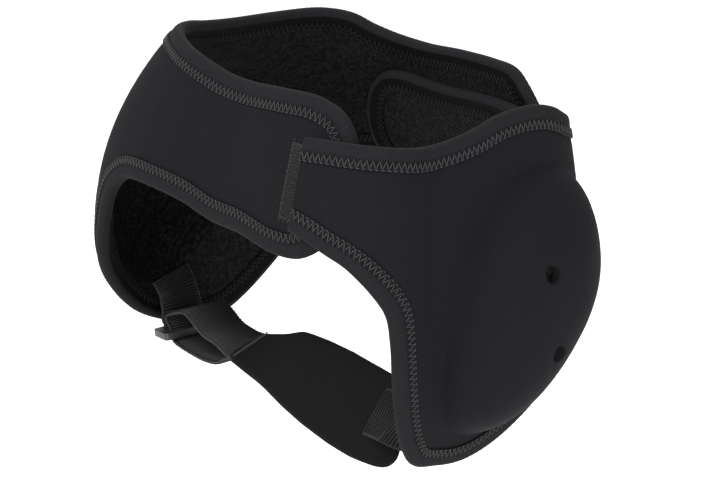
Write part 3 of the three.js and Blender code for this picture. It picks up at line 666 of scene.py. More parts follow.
class Graph:
    """A node tree, written one node a line: settings by keyword, inputs by name or number"""

    def __init__(self, tree):
        self.tree = tree

    def add(self, kind, inputs=None, **settings):
        node = self.tree.nodes.new(kind)
        for name, value in settings.items():
            setattr(node, name, value)
        self.fill(node, inputs or {})
        return node.outputs

    def fill(self, node, inputs):
        for name, value in inputs.items():
            if isinstance(value, bpy.types.NodeSocket):
                self.tree.links.new(value, node.inputs[name])
            else:
                node.inputs[name].default_value = value

    def math(self, operation, first, second=0.0):
        return self.add("ShaderNodeMath", {0: first, 1: second}, operation=operation)[0]

    def vector(self, operation, first, second):
        number = "Scale" if operation == "SCALE" else 1
        return self.add("ShaderNodeVectorMath", {0: first, number: second}, operation=operation)[0]

    def joined(self, *numbers):
        return self.add("ShaderNodeCombineXYZ", dict(enumerate(numbers)))[0]

    def ranged(self, value, **limits):
        """A number moved from one range to another; limits such as to_max=2"""
        inputs = {name.replace("_", " ").title(): limit for name, limit in limits.items()}
        return self.add("ShaderNodeMapRange", {"Value": value, **inputs})[0]

    def stored(self, name, kind="FLOAT_VECTOR"):
        return self.add("GeometryNodeInputNamedAttribute", {"Name": name}, data_type=kind)[0]

    def turned(self, first, second, axes):
        """Rotation that brings two axes, such as X and Z, to two directions"""
        return self.add("FunctionNodeAxesToRotation", {0: first, 1: second},
                        primary_axis=axes[0], secondary_axis=axes[1])[0]

    def placed(self, points, instance, rotation, scale):
        return self.add("GeometryNodeInstanceOnPoints", {
            "Points": points, "Instance": instance, "Rotation": rotation, "Scale": scale})[0]

    def tube(self, curve, profile):
        return self.add("GeometryNodeCurveToMesh", {
            "Curve": curve, "Profile Curve": profile, "Fill Caps": True})[0]


def geometry_graph(name, numbers, whole_numbers=()):
    """A tree whose named inputs are numbers and a material"""
    tree = bpy.data.node_groups.new(name, "GeometryNodeTree")
    tree.is_modifier = True
    tree.interface.new_socket("Geometry", in_out="OUTPUT", socket_type="NodeSocketGeometry")
    sockets = [("Geometry", "Geometry"), *((label, "Float") for label in numbers),
               *((label, "Int") for label in whole_numbers), ("Material", "Material")]
    for label, kind in sockets:
        tree.interface.new_socket(label, in_out="INPUT", socket_type="NodeSocket" + kind)
    graph = Graph(tree)
    graph.given = graph.add("NodeGroupInput")
    return graph


def end_graph(graph, geometry):
    """Every tree ends in real meshes with their material"""
    real = graph.add("GeometryNodeRealizeInstances", {"Geometry": geometry})[0]
    smooth = graph.add("GeometryNodeSetShadeSmooth", {"Geometry": real})[0]
    painted = graph.add("GeometryNodeSetMaterial", {"Geometry": smooth,
                                                    "Material": graph.given["Material"]})[0]
    graph.add("NodeGroupOutput", {"Geometry": painted})
    return graph.tree


def guide_curve(graph, pitch):
    """The guide line as a curve with points one pitch apart"""
    curve = graph.add("GeometryNodeMeshToCurve", {"Mesh": graph.given["Geometry"]})[0]
    inputs = {"Curve": curve, "Length": pitch}
    return graph.add("GeometryNodeResampleCurve", inputs, mode="LENGTH")[0]


def running_stitch_tree():
    """Separate stitches along a guide line"""
    graph = geometry_graph("Running stitch", ["Pitch", "Stitch", "Thread"])
    points = guide_curve(graph, graph.given["Pitch"])
    bead = graph.add("GeometryNodeMeshUVSphere", {"Segments": 6, "Rings": 4, "Radius": 0.5})[0]
    tangent = graph.add("GeometryNodeInputTangent")[0]
    turn = graph.turned(tangent, graph.stored("outward"), "XZ")
    thread = graph.given["Thread"]
    size = graph.joined(graph.given["Stitch"], thread, thread)
    return end_graph(graph, graph.placed(points, bead, turn, size))


def zigzag_tree():
    """One thread that swings from side to side of a guide line"""
    graph = geometry_graph("Zigzag stitch", ["Pitch", "Swing", "Thread"])
    thread = graph.given["Thread"]
    points = guide_curve(graph, graph.math("DIVIDE", graph.given["Pitch"], 4.0))
    phase = graph.math("MULTIPLY", graph.add("GeometryNodeInputIndex")[0], math.pi / 2)
    side = graph.math("MULTIPLY", graph.math("SINE", phase), graph.given["Swing"])
    arch = graph.math("MULTIPLY", graph.math("ABSOLUTE", graph.math("COSINE", phase)),
                      graph.math("MULTIPLY", thread, 0.35))
    offset = graph.vector("ADD", graph.vector("SCALE", graph.stored("across"), side),
                          graph.vector("SCALE", graph.stored("outward"), arch))
    swung = graph.add("GeometryNodeSetPosition", {"Geometry": points, "Offset": offset})[0]
    profile = graph.add("GeometryNodeCurvePrimitiveCircle", {
        "Resolution": 5, "Radius": graph.math("DIVIDE", thread, 2.0)})[0]
    return end_graph(graph, graph.tube(swung, profile))


def rib_tree():
    """Woven ribs across a guide line, as wide as its own width says"""
    graph = geometry_graph("Webbing ribs", ["Pitch", "Depth"])
    pitch = graph.given["Pitch"]
    rod = graph.add("GeometryNodeMeshCylinder", {
        "Vertices": 8, "Side Segments": 1, "Fill Segments": 1, "Radius": 0.5, "Depth": 1.0})[0]
    turn = graph.turned(graph.stored("across"), graph.stored("outward"), "ZX")
    size = graph.joined(graph.given["Depth"], graph.math("MULTIPLY", pitch, 0.58),
                        graph.stored("width", "FLOAT"))
    return end_graph(graph, graph.placed(guide_curve(graph, pitch), rod, turn, size))


def hook_tree():
    """Small bent hooks on the points of a mesh"""
    graph = geometry_graph("Hook field", ["Height"], ["Seed"])
    arc = graph.add("GeometryNodeCurveArc", {"Resolution": 5, "Radius": 0.5,
                                             "Sweep Angle": math.radians(240)}, mode="RADIUS")[0]
    profile = graph.add("GeometryNodeCurvePrimitiveCircle", {"Resolution": 4, "Radius": 0.14})[0]
    spin = graph.add("FunctionNodeRandomValue", {2: 0.0, 3: math.tau, "Seed": graph.given["Seed"]},
                     data_type="FLOAT")[1]
    upright = graph.turned(graph.stored("outward"), graph.stored("across"), "XZ")
    turn = graph.add("FunctionNodeRotateRotation", {0: upright, 1: graph.joined(spin)},
                     rotation_space="LOCAL")[0]
    hooks = graph.placed(graph.given["Geometry"], graph.tube(arc, profile), turn,
                         graph.given["Height"])
    return end_graph(graph, hooks)


def grown_mesh(points, across, outward, closed, tree, values, extra=None):
    """The plain mesh that a Geometry Nodes tree grows on a guide line"""
    count = len(points)
    edges = [(i, i + 1) for i in range(count - 1)]
    if closed:
        edges.append((count - 1, 0))
    mesh = bpy.data.meshes.new("Guide")
    mesh.from_pydata([tuple(p) for p in points], edges, [])
    for name, vectors in (("across", across), ("outward", outward)):
        layer = mesh.attributes.new(name, "FLOAT_VECTOR", "POINT")
        layer.data.foreach_set("vector", np.asarray(vectors, np.float32).ravel())
    for name, numbers in (extra or {}).items():
        layer = mesh.attributes.new(name, "FLOAT", "POINT")
        layer.data.foreach_set("value", np.asarray(numbers, np.float32))
    guide = linked("Guide", mesh)
    modifier = guide.modifiers.new("Grow", "NODES")
    modifier.node_group = tree
    for item in tree.interface.items_tree:
        if item.item_type == "SOCKET" and item.in_out == "INPUT" and item.name in values:
            modifier[item.identifier] = values[item.name]
    guide.update_tag()
    grown = plain_mesh(guide)
    grown.materials.clear()
    grown.materials.append(values["Material"])
    grown.polygons.foreach_set("material_index", np.zeros(len(grown.polygons), np.int32))
    bpy.data.objects.remove(guide)
    bpy.data.meshes.remove(mesh)
    return grown


def join_meshes(name, meshes):
    """One object from several plain meshes, each with its own material"""
    piece = linked(name, bpy.data.meshes.new(name))
    build = bmesh.new()
    for mesh in meshes:
        first = len(build.faces)
        build.from_mesh(mesh)
        build.faces.ensure_lookup_table()
        for material in mesh.materials:
            if material.name not in piece.data.materials:
                piece.data.materials.append(material)
        numbers = [piece.data.materials.find(material.name) for material in mesh.materials]
        for face in build.faces[first:]:
            face.material_index = numbers[min(face.material_index, len(numbers) - 1)]
    build.to_mesh(piece.data)
    build.free()
    return piece


# Materials

def finish(build):
    """Makes a material once by its name; build says what goes into the shader's sockets"""
    def named(name, *values):
        material = bpy.data.materials.get(name)
        if material:
            return material
        material = bpy.data.materials.new(name)
        material.use_nodes = True
        graph = Graph(material.node_tree)
        place = graph.add("ShaderNodeTexCoord")["Object"]
        shader = material.node_tree.nodes["Principled BSDF"]
        graph.fill(shader, build(graph, place, *values))
        return material
    return named


def shade(values, factor):
    return tuple(value * factor for value in values)


def tinted(graph, value, base, low, high):
    """A shade of the base colour between two factors, by a value from 0 to 1"""
    colours = {0: value, 6: (*shade(base, low), 1), 7: (*shade(base, high), 1)}
    return graph.add("ShaderNodeMix", colours, data_type="RGBA")[2]


def noise(graph, place, scale, detail=2.0):
    return graph.add("ShaderNodeTexNoise", {"Vector": place, "Scale": scale, "Detail": detail})[0]


def bumped(graph, height, distance, strength, **normal):
    inputs = {"Height": height, "Distance": distance, "Strength": strength, **normal}
    return graph.add("ShaderNodeBump", inputs)[0]


def cut_place(graph):
    """Place on the flat cloth in metres: its two numbers, and both together"""
    cut = graph.add("ShaderNodeUVMap", uv_map="Cut")[0]
    split = graph.add("ShaderNodeSeparateXYZ", {0: cut})
    return split[0], split[1], cut


def wave(graph, value, pitch):
    return graph.math("SINE", graph.math("MULTIPLY", value, math.tau / pitch))


def weighed(graph, *pairs):
    """Sum of values, each times its own weight"""
    total = None
    for value, weight in pairs:
        part = graph.math("MULTIPLY", value, weight)
        total = part if total is None else graph.math("ADD", total, part)
    return total


def knit_height(graph, pitch):
    """Rows of small chevrons, as on jersey cloth"""
    across, along, _ = cut_place(graph)
    wale = graph.math("MULTIPLY", across, math.pi / pitch)
    ridge = graph.math("ABSOLUTE", graph.math("SINE", wale))
    course = weighed(graph, (along, math.tau / pitch), (ridge, 2.0))
    return graph.math("MULTIPLY", ridge, graph.math("ADD", graph.math("SINE", course), 1.5))


@finish
def jersey(graph, place, base, pitch, roughness):
    """Knitted jersey: a cloudy tone, rows of chevrons and a little lint"""
    knit = knit_height(graph, pitch)
    cloud = noise(graph, place, 38.0, 4.0)
    fine = noise(graph, place, 1400.0)
    lint = graph.ranged(noise(graph, place, 620.0, 0.0), from_min=0.83, from_max=0.87, to_max=0.6)
    tone = graph.math("ADD", weighed(graph, (cloud, 0.45), (fine, 0.3), (knit, 0.1)), lint)
    soft = bumped(graph, cloud, 0.5 * MM, 0.35)
    return {
        "Base Color": tinted(graph, tone, base, 0.72, 1.38),
        "Roughness": graph.ranged(cloud, to_min=roughness - 0.06, to_max=roughness + 0.08),
        "Normal": bumped(graph, graph.math("ADD", knit, fine), 0.05 * MM, 0.6, Normal=soft),
        "Specular IOR Level": 0.05,
        "Sheen Weight": 0.006,
        "Sheen Roughness": 0.45,
        "Sheen Tint": (0.75, 0.78, 0.85, 1),
    }


@finish
def fleece(graph, place, base):
    """Brushed loop pile with a faint diagonal twill"""
    across, along, cut = cut_place(graph)
    loops = graph.add("ShaderNodeTexVoronoi", {"Vector": cut, "Scale": 900.0})["Distance"]
    tangle = noise(graph, place, 520.0, 5.0)
    twill = wave(graph, weighed(graph, (across, 0.8), (along, 1.0)), 1.9 * MM)
    height = weighed(graph, (tangle, 1.6), (loops, -0.7), (twill, 0.12))
    tone = graph.ranged(height, from_min=0.2, from_max=1.1)
    return {
        "Base Color": tinted(graph, tone, base, 0.45, 2.6),
        "Normal": bumped(graph, height, 0.5 * MM, 0.9),
        "Roughness": 0.97,
        "Specular IOR Level": 0.04,
        "Sheen Weight": 0.01,
        "Sheen Roughness": 0.6,
    }


@finish
def tape_cloth(graph, place, base, width):
    """Knitted binding tape: smooth round the fold, ribbed where it is sewn, with painted shade on
    its leg inside the loop
    """
    along, across, _ = cut_place(graph)
    weave = weighed(graph, (wave(graph, along, 0.62 * MM), 0.5),
                    (wave(graph, across, 0.55 * MM), 0.3))
    sewn = graph.ranged(graph.math("ABSOLUTE", across),
                        from_min=0.32 * width, from_max=0.52 * width)
    grain = noise(graph, place, 900.0, 3.0)
    tone = weighed(graph, (grain, 0.56), (weave, 0.112), (sewn, -0.196))
    # Painted shade: the tape's leg on the inside of the loop is darkened to 8 % of its tone, for
    # the shade inside the loop
    inner = graph.math("LESS_THAN", across, 0.0)
    outer = graph.math("SUBTRACT", 1.0, graph.math("MULTIPLY", inner, 0.92))
    light = graph.math("MULTIPLY", graph.math("ADD", tone, 0.38), outer)
    ribs = graph.math("MULTIPLY", weave, graph.math("ADD", sewn, 0.35))
    return {
        "Base Color": tinted(graph, light, base, 0.1, 1.45),
        "Normal": bumped(graph, graph.math("ADD", grain, ribs), 0.12 * MM, 0.7),
        "Roughness": 0.82,
        "Specular IOR Level": 0.06,
        "Sheen Weight": 0.01,
        "Sheen Roughness": 0.4,
    }


@finish
def yarn(graph, place, base, scale, roughness):
    """Thread or woven yarn: fine bright fibres on a darker ground"""
    fibre = noise(graph, place, scale, 3.0)
    return {
        "Base Color": tinted(graph, fibre, base, 0.45, 1.6),
        "Normal": bumped(graph, fibre, 0.1 * MM, 0.6),
        "Roughness": roughness,
        "Specular IOR Level": 0.16,
    }


@finish
def moulded(graph, place, base):
    """Moulded plastic with a fine spark-eroded grain and a few handling marks"""
    wear = noise(graph, place, 240.0, 4.0)
    return {
        "Base Color": tinted(graph, wear, base, 0.75, 1.25),
        "Roughness": graph.ranged(wear, to_min=0.36, to_max=0.56),
        "Normal": bumped(graph, noise(graph, place, 2600.0), 0.02 * MM, 0.5),
    }


@finish
def floor_paint(graph, place, base):
    return {
        "Base Color": tinted(graph, noise(graph, place, 3.0), base, 0.99, 1.01),
        "Roughness": 0.9,
        "Specular IOR Level": 0.1,
    }


class Finishes:
    """The materials of this object, made once"""

    def __init__(self, colours, sizes):
        self.neoprene = jersey("neoprene_jersey", colours.neoprene, 0.55 * MM, 0.72)
        self.pad = jersey("pad_jersey", colours.pad, 0.5 * MM, 0.8)
        self.lining = fleece("fleece_lining", colours.lining)
        self.tape = tape_cloth("knitted_tape", colours.tape, sizes.tape_width)
        self.thread = yarn("polyester_thread", colours.thread, 1600.0, 0.7)
        # Painted shade: the thread on the inside face is the same thread at a quarter of its
        # colour, for the shade inside the loop
        self.bobbin = yarn("bobbin_thread", shade(colours.thread, 0.25), 1600.0, 0.7)
        # Painted shade: needle marks are beads at half the lining's colour, for the shade in the
        # needle holes and along the tape's edge
        self.hole = yarn("needle_mark", shade(colours.lining, 0.5), 1600.0, 0.95)
        self.hook = yarn("hook_field", colours.hook, 900.0, 0.6)
        self.rib = yarn("webbing_rib", colours.webbing, 1100.0, 0.62)
        # Painted shade: the webbing's ground between the ribs is the ribs' yarn at 7 % of their
        # colour, for the shade in the gaps
        self.ground = yarn("webbing_ground", shade(colours.webbing, 0.07), 900.0, 0.9)
        self.slider = moulded("moulded_nylon", colours.slider)


# Sewn edges

def guide_on(sheet, edge, closed, distance, depth):
    """A line on a sheet at a distance in from its edge, with its across and outward directions"""
    inward = sheet.inward(edge, closed)
    flats = edge + inward * distance
    outward = sheet.normal(flats) * np.sign(depth).reshape(-1, 1)
    reach = 0.4 * MM
    across = unit(sheet.middle(flats + inward * reach) - sheet.middle(flats - inward * reach))
    return sheet.place(flats, depth), across, outward


def tape_depth(sizes, distance):
    """How far the tape's face stands from the middle of the sheet, at distances from its edge"""
    base = squeezed(sizes, distance) + 0.05 * MM + sizes.tape
    full = 0.2 * MM * (1 - smooth_step(distance, 0.5 * MM, 3.4 * MM))
    pinch = 0.12 * MM * np.exp(-((distance - 3.5 * MM) / (0.5 * MM)) ** 2)
    return base + full - pinch


def tape_profile(sizes):
    """Cross-section of folded tape: distance in from the edge, and depth"""
    width = sizes.tape_width
    walk = np.array([1.0, 0.93, 0.8, 0.66, 0.56, 0.48, 0.36, 0.22, 0.1, 0.0]) * width
    depth = tape_depth(sizes, walk)
    depth[0] -= 0.22 * MM
    face = [*zip(walk, depth)]
    fold = [(-TAPE_FOLD * math.sin(a), depth[-1] * math.cos(a))
            for a in np.linspace(0, math.pi, 9)[1:-1]]
    outer = [*face, *fold, *((place, -level) for place, level in reversed(face))]
    inner_walk = np.array([1.0, 0.5, 0.1]) * width
    thin = tape_depth(sizes, inner_walk) - sizes.tape
    back = [*zip(inner_walk, thin)]
    inner_fold = [(-0.55 * TAPE_FOLD * math.sin(a), -thin[-1] * math.cos(a))
                  for a in np.linspace(0, math.pi, 5)[1:-1]]
    inner = [*((place, -level) for place, level in back), *inner_fold, *reversed(back)]
    return np.array([*outer, *inner])


def make_tape(name, guard, sheet, edge, closed):
    sizes = guard.sizes
    profile = tape_profile(sizes)
    count = len(edge)
    size = len(profile)
    walked = run_lengths(edge)
    pucker = 0.07 * MM * np.sin(math.tau * walked / sizes.stitch_pitch)
    inward = np.repeat(sheet.inward(edge, closed), size, axis=0)
    flats = np.repeat(edge, size, axis=0) + inward * np.tile(profile[:, 0], count)[:, None]
    depth = np.tile(profile[:, 1], count)
    swell = np.repeat(pucker, size) * np.sign(depth) * (np.abs(depth) > 1.2 * MM)
    side = np.sign(profile[:, 1]) * np.maximum(profile[:, 0], 0) + 1e-6
    cut = np.stack([np.repeat(walked, size), np.tile(side, count)], axis=1)
    faces = [face[::-1] for face in sweep_faces(count, size, closed)]
    vertices = sheet.place(flats, depth + swell)
    return new_piece(name, vertices, faces, [guard.finishes.tape], flats=cut)


def edge_seams(guard, sheet, edge, closed):
    """Zigzag seam, needle marks as dark beads of painted shade in the holes, and a row of stitches,
    on both faces of the tape
    """
    sizes = guard.sizes
    width = sizes.tape_width
    swing = ZIGZAG_SWING * width
    middle = ZIGZAG_PLACE * width
    row = width - 0.35 * MM
    beyond = width + 0.35 * MM
    pitch = sizes.stitch_pitch
    running = {"Pitch": pitch, "Stitch": 0.62 * pitch, "Thread": sizes.thread}
    zigzag = {"Pitch": pitch, "Swing": swing, "Thread": sizes.thread}
    mark = {"Pitch": pitch, "Stitch": NEEDLE_MARK, "Thread": NEEDLE_MARK / 2}
    meshes = []
    # The outer face gets the thread; the inside face gets the thread darkened as painted shade
    for face, thread in ((1, guard.finishes.thread), (-1, guard.finishes.bobbin)):
        for kind, values, material, distance, rise in (
                ("zigzag", zigzag, thread, middle, 0.1 * MM),
                ("running", running, thread, row, 0.02 * MM),
                # Needle marks beside the zigzag and on the neoprene along the tape's edge, painted
                # shade in the holes
                ("running", mark, guard.finishes.hole, middle - swing - 0.25 * MM, 0),
                ("running", mark, guard.finishes.hole, beyond, 0)):
            level = squeezed if distance > width else tape_depth
            depth = face * (level(sizes, np.full(len(edge), distance)) + rise)
            line = guide_on(sheet, edge, closed, distance, depth)
            values = {**values, "Material": material}
            meshes.append(grown_mesh(*line, closed, guard.trees[kind], values))
    return meshes


# Straps

def strap_stations(middles, acrosses, widths, count):
    """Evenly counted stations on the curve through the middles: place, across, face and width"""
    middles = np.asarray(middles, float)
    acrosses = np.asarray(acrosses, float)
    widths = np.asarray(widths, float)
    last = len(middles) - 1
    turn = np.linspace(0, last, count + 1)
    places = soft_spline(middles, False, turn)
    ahead = soft_spline(middles, False, np.minimum(turn + 1e-3, last))
    behind = soft_spline(middles, False, np.maximum(turn - 1e-3, 0))
    along = unit(ahead - behind)
    first = np.minimum(np.floor(turn).astype(int), last - 1)
    blend = (turn - first)[:, None]
    across = acrosses[first] * (1 - blend) + acrosses[first + 1] * blend
    across = unit(across - along * np.sum(across * along, axis=1, keepdims=True))
    width = widths[first] * (1 - blend[:, 0]) + widths[first + 1] * blend[:, 0]
    return places, across, np.cross(along, across), width


def even_stations(stations, step):
    """The same strap with stations a step apart"""
    lengths = run_lengths(stations[0])
    wanted = np.linspace(0, lengths[-1], max(2, round(lengths[-1] / step)) + 1)
    places, across, face = (
        np.stack([np.interp(wanted, lengths, column) for column in rows.T], axis=1)
        for rows in stations[:3])
    return places, unit(across), unit(face), np.interp(wanted, lengths, stations[3])


def strap_mesh(stations, thickness, columns=10):
    """A flat strap with round long edges"""
    places, across, face, width = stations
    sides = np.linspace(-1, 1, columns)
    upper = [*zip(sides, np.sqrt(np.clip(1 - np.abs(sides) ** 10, 0.05, 1)))]
    ring = np.array([*upper, *((side, -rise) for side, rise in reversed(upper))])
    vertices = (places[:, None] + across[:, None] * (ring[None, :, :1] * width[:, None, None] / 2)
                + face[:, None] * (ring[None, :, 1:] * thickness / 2))
    return vertices.reshape(-1, 3), sweep_faces(len(places), len(ring), False)


def webbing_piece(name, guard, stations, extra=()):
    """Woven strap: a ground painted dark as shade between raised ribs across it, and firm selvedges
    """
    sizes = guard.sizes
    finishes = guard.finishes
    places, across, face, width = even = even_stations(stations, WEBBING_STEP)
    vertices, faces = strap_mesh(even, WEBBING_GROUND * sizes.webbing)
    ground = bpy.data.meshes.new("Ground")
    ground.from_pydata([tuple(v) for v in vertices], [], faces)
    ground.materials.append(finishes.ground)
    rib = {"Pitch": sizes.rib_pitch, "Depth": sizes.webbing, "Material": finishes.rib}
    ribs = grown_mesh(places, across, face, False, guard.trees["rib"], rib,
                      {"width": width - 0.5 * MM})
    selvedge = {"Pitch": 2 * sizes.rib_pitch, "Swing": 0.12 * MM, "Thread": 0.9 * sizes.webbing,
                "Material": finishes.rib}
    meshes = [ground, ribs]
    for side in (-1, 1):
        line = places + across * (side * (width / 2 - 0.35 * MM))[:, None]
        meshes.append(grown_mesh(line, across, face, False, guard.trees["zigzag"], selvedge))
    piece = join_meshes(name, [*meshes, *extra])
    set_smooth(piece.data)
    return piece


def bar_tack(guard, place, across, along, face, width):
    """A dense zigzag seam across a strap"""
    count = 24
    points = np.array([place + across * (side * width / 2) for side in np.linspace(-1, 1, count)])
    values = {"Pitch": 1.1 * MM, "Swing": 1.2 * MM, "Thread": guard.sizes.thread,
              "Material": guard.finishes.thread}
    return grown_mesh(points, np.tile(along, (count, 1)), np.tile(face, (count, 1)), False,
                      guard.trees["zigzag"], values)


class Guard:
    """Everything that the operators share: sizes, finishes, node trees, sheets and edges"""

    def __init__(self, scene):
        self.sizes = scene.ear_guard_sizes
        self.finishes = Finishes(scene.ear_guard_colours, self.sizes)
        self.form = LoopForm(self.sizes)
        self.trees = shared_trees()
        self.right_dome = Dome(self.form, self.sizes, RIGHT_DOME_MIDDLE, -1)
        self.left_dome = Dome(self.form, self.sizes, LEFT_DOME_MIDDLE, 1)
        self.wrap = Sheet(self.form, self.right_dome.lift)
        self.left = Sheet(self.form, self.left_lift)
        self.step = self.sizes.mesh_step

    def layer_step(self):
        """Distance between the middles of two layers, as the CAD model has it"""
        return self.sizes.neoprene + 2 * (CAD_TAPE + self.sizes.gap) + self.sizes.layer_gap

    def left_lift(self, flat):
        share = flat[:, 0] / self.form.size
        front = 1 - smooth_step(share, *FRONT_STEP)
        back_band = smooth_step(flat[:, 1] / self.form.height, *REAR_STEP_HEIGHTS)
        rear = smooth_step(share, *REAR_STEP) * back_band
        return self.layer_step() * (front - rear) + self.left_dome.lift(flat)

    def wrap_edge(self, step):
        return outside(spaced(self.form.flat(WRAP_OUTLINE), True, step))

    def left_edge(self, step):
        return spaced(self.form.flat(LEFT_OUTLINE), False, step)[::-1]

    def place(self, row):
        halves = [self.sizes.loop_width / 2, self.sizes.loop_length / 2, self.sizes.panel_height]
        return np.array(row[:3]) * halves

    def pad_stations(self, count):
        forward = -self.slider_frame()[0]
        acrosses = [unit(tilted(math.radians(tilt)) * (1 - turn) + forward * turn)
                    for *_, tilt, turn in PAD_STATIONS]
        widths = [row[3] * self.sizes.pad_width for row in PAD_STATIONS]
        return strap_stations([self.place(row) for row in PAD_STATIONS], acrosses, widths, count)

    def webbing_stations(self, middles, acrosses, count):
        return strap_stations(middles, acrosses, [self.sizes.webbing_width] * len(middles), count)

    def webbing_depth(self, room):
        """Depth of webbing that lies on a panel's inner face, with room over the binding"""
        return -(self.sizes.neoprene / 2 + CAD_TAPE + room + self.sizes.webbing / 2)

    def slider_frame(self):
        """The slider's axes, back along its bars, outward across them and out; then its middle"""
        bars = np.array([math.sin(SLIDER_YAW), math.cos(SLIDER_YAW), 0])
        outward = np.array([-math.cos(SLIDER_YAW), math.sin(SLIDER_YAW), 0])
        up = outward * math.sin(SLIDER_LEAN) + np.array([0, 0, math.cos(SLIDER_LEAN)])
        return bars, up, np.cross(bars, up), self.place(SLIDER_MIDDLE)

    def around_bars(self, winding, gap):
        """Places round the slider's bars from the columns of a winding"""
        _, up, face, middle = self.slider_frame()
        clear = self.sizes.slider / 2 + gap + self.sizes.webbing / 2
        return [middle + up * y * self.bar_pitch() / 2 + face * z * clear for y, z in winding]

    def bar_pitch(self):
        return self.sizes.webbing + 2 * self.sizes.slot_clearance + self.sizes.slider_bar


def tilted(angle):
    """Direction across a strap under the chin that is tilted by an angle"""
    return np.array([0, -math.sin(angle), -math.cos(angle)])


def shared_trees():
    """The node trees of this object, made once"""
    builders = {"running": ("Running stitch", running_stitch_tree),
                "zigzag": ("Zigzag stitch", zigzag_tree),
                "rib": ("Webbing ribs", rib_tree),
                "hook": ("Hook field", hook_tree)}
    return {key: bpy.data.node_groups.get(name) or build()
            for key, (name, build) in builders.items()}


# Pieces

def make_panel(guard, name, node, sheet, dome, outline, closed):
    """Neoprene with a moulded dome, its binding tape and the seams of the tape"""
    bound = edge = outline(EDGE_SPACING * guard.step)
    if not closed:
        count = round(np.linalg.norm(bound[0] - bound[-1]) / guard.step)
        edge = np.vstack([bound, np.linspace(bound[-1], bound[0], count + 1)[1:-1]])
    flats, triangles, plugs = fill_cut(edge, dome, guard.sizes.vent / 2, guard.step)
    half = squeezed(guard.sizes, distance_to(flats, bound))
    vertices, faces, indices, cut = shell_mesh(sheet, flats, triangles, plugs, half, NEOPRENE_ROUND)
    materials = [guard.finishes.neoprene, guard.finishes.lining]
    shell = new_piece(f"{name}_neoprene", vertices, faces, materials, indices, cut)
    settle(shell, "neoprene", node)
    fine = outline(TAPE_STEP)
    tape = make_tape(f"{name}_tape", guard, sheet, fine, closed)
    settle(tape, "binding_tape", f"{name}_binding")
    seams = edge_seams(guard, sheet, fine, closed)
    settle(join_meshes(f"{name}_seams", seams), "binding_tape")


def make_head_wrap(guard):
    make_panel(guard, "head_wrap", "head_wrap", guard.wrap, guard.right_dome, guard.wrap_edge, True)


def make_left_panel(guard):
    make_panel(guard, "left_panel", "left_ear_panel", guard.left, guard.left_dome,
               guard.left_edge, False)


def make_hook_patch(guard):
    """Hook tape with its field of hooks, sewn on along three of its sides"""
    sizes = guard.sizes
    hook = guard.finishes.hook
    low, high = guard.form.flat(PATCH_CORNERS)
    columns, rows = PATCH_CELLS
    flats = np.array([(x, y) for y in np.linspace(low[1], high[1], rows + 1)
                      for x in np.linspace(low[0], high[0], columns + 1)])
    triangles = []
    for row in range(rows):
        for corner in range(row * (columns + 1), row * (columns + 1) + columns):
            across = corner + columns + 2
            triangles += [(corner, corner + 1, across), (corner, across, across - 1)]
    base = sizes.neoprene / 2 + PATCH_LIFT
    half = np.full(len(flats), sizes.patch / 2)
    raised = Sheet(guard.form, lambda flat: np.full(len(flat), base + half[0]))
    no_plugs = np.zeros((0, 3), int)
    vertices, faces, _, cut = shell_mesh(raised, flats, np.array(triangles), no_plugs, half,
                                         PATCH_ROUND)
    settle(new_piece("hook_patch_tape", vertices, faces, [hook], None, cut),
           "hook_tape", "strap_hook_patch")
    field = np.array([(x, y) for y in np.arange(low[1] + 1.6 * MM, high[1] - 1.2 * MM, HOOK_PITCH)
                      for x in np.arange(low[0] + 2.2 * MM, high[0] - 0.8 * MM, HOOK_PITCH)])
    meshes = [grown_mesh(raised.place(field, sizes.patch / 2 + 0.2 * MM), sideways(raised, field),
                         raised.normal(field), False, guard.trees["hook"],
                         {"Height": HOOK_HEIGHT, "Seed": 7, "Material": hook})]
    stitch = {"Pitch": 2.0 * MM, "Stitch": 1.3 * MM, "Thread": sizes.thread,
              "Material": guard.finishes.thread}
    for inset, height in ((-0.5 * MM, base), (1.0 * MM, base + sizes.patch)):
        bottom, left, top = low[1] + inset, low[0] + inset, high[1] - inset
        corners = [(high[0], bottom), (left, bottom), (left, top), (high[0], top)]
        line = np.vstack([np.linspace(start, end, PATCH_SEAM_POINTS)[:-1]
                          for start, end in zip(corners, corners[1:])])
        places = guard.wrap.place(line, height + 0.05 * MM)
        meshes.append(grown_mesh(places, sideways(guard.wrap, line), guard.wrap.normal(line), False,
                                 guard.trees["running"], stitch))
    settle(join_meshes("hook_patch_seams", meshes), "hook_tape")


def sideways(sheet, flats):
    """Direction along a sheet in which the flat cut's first number grows"""
    return unit(sheet.middle(flats + [MM, 0]) - sheet.middle(flats - [MM, 0]))


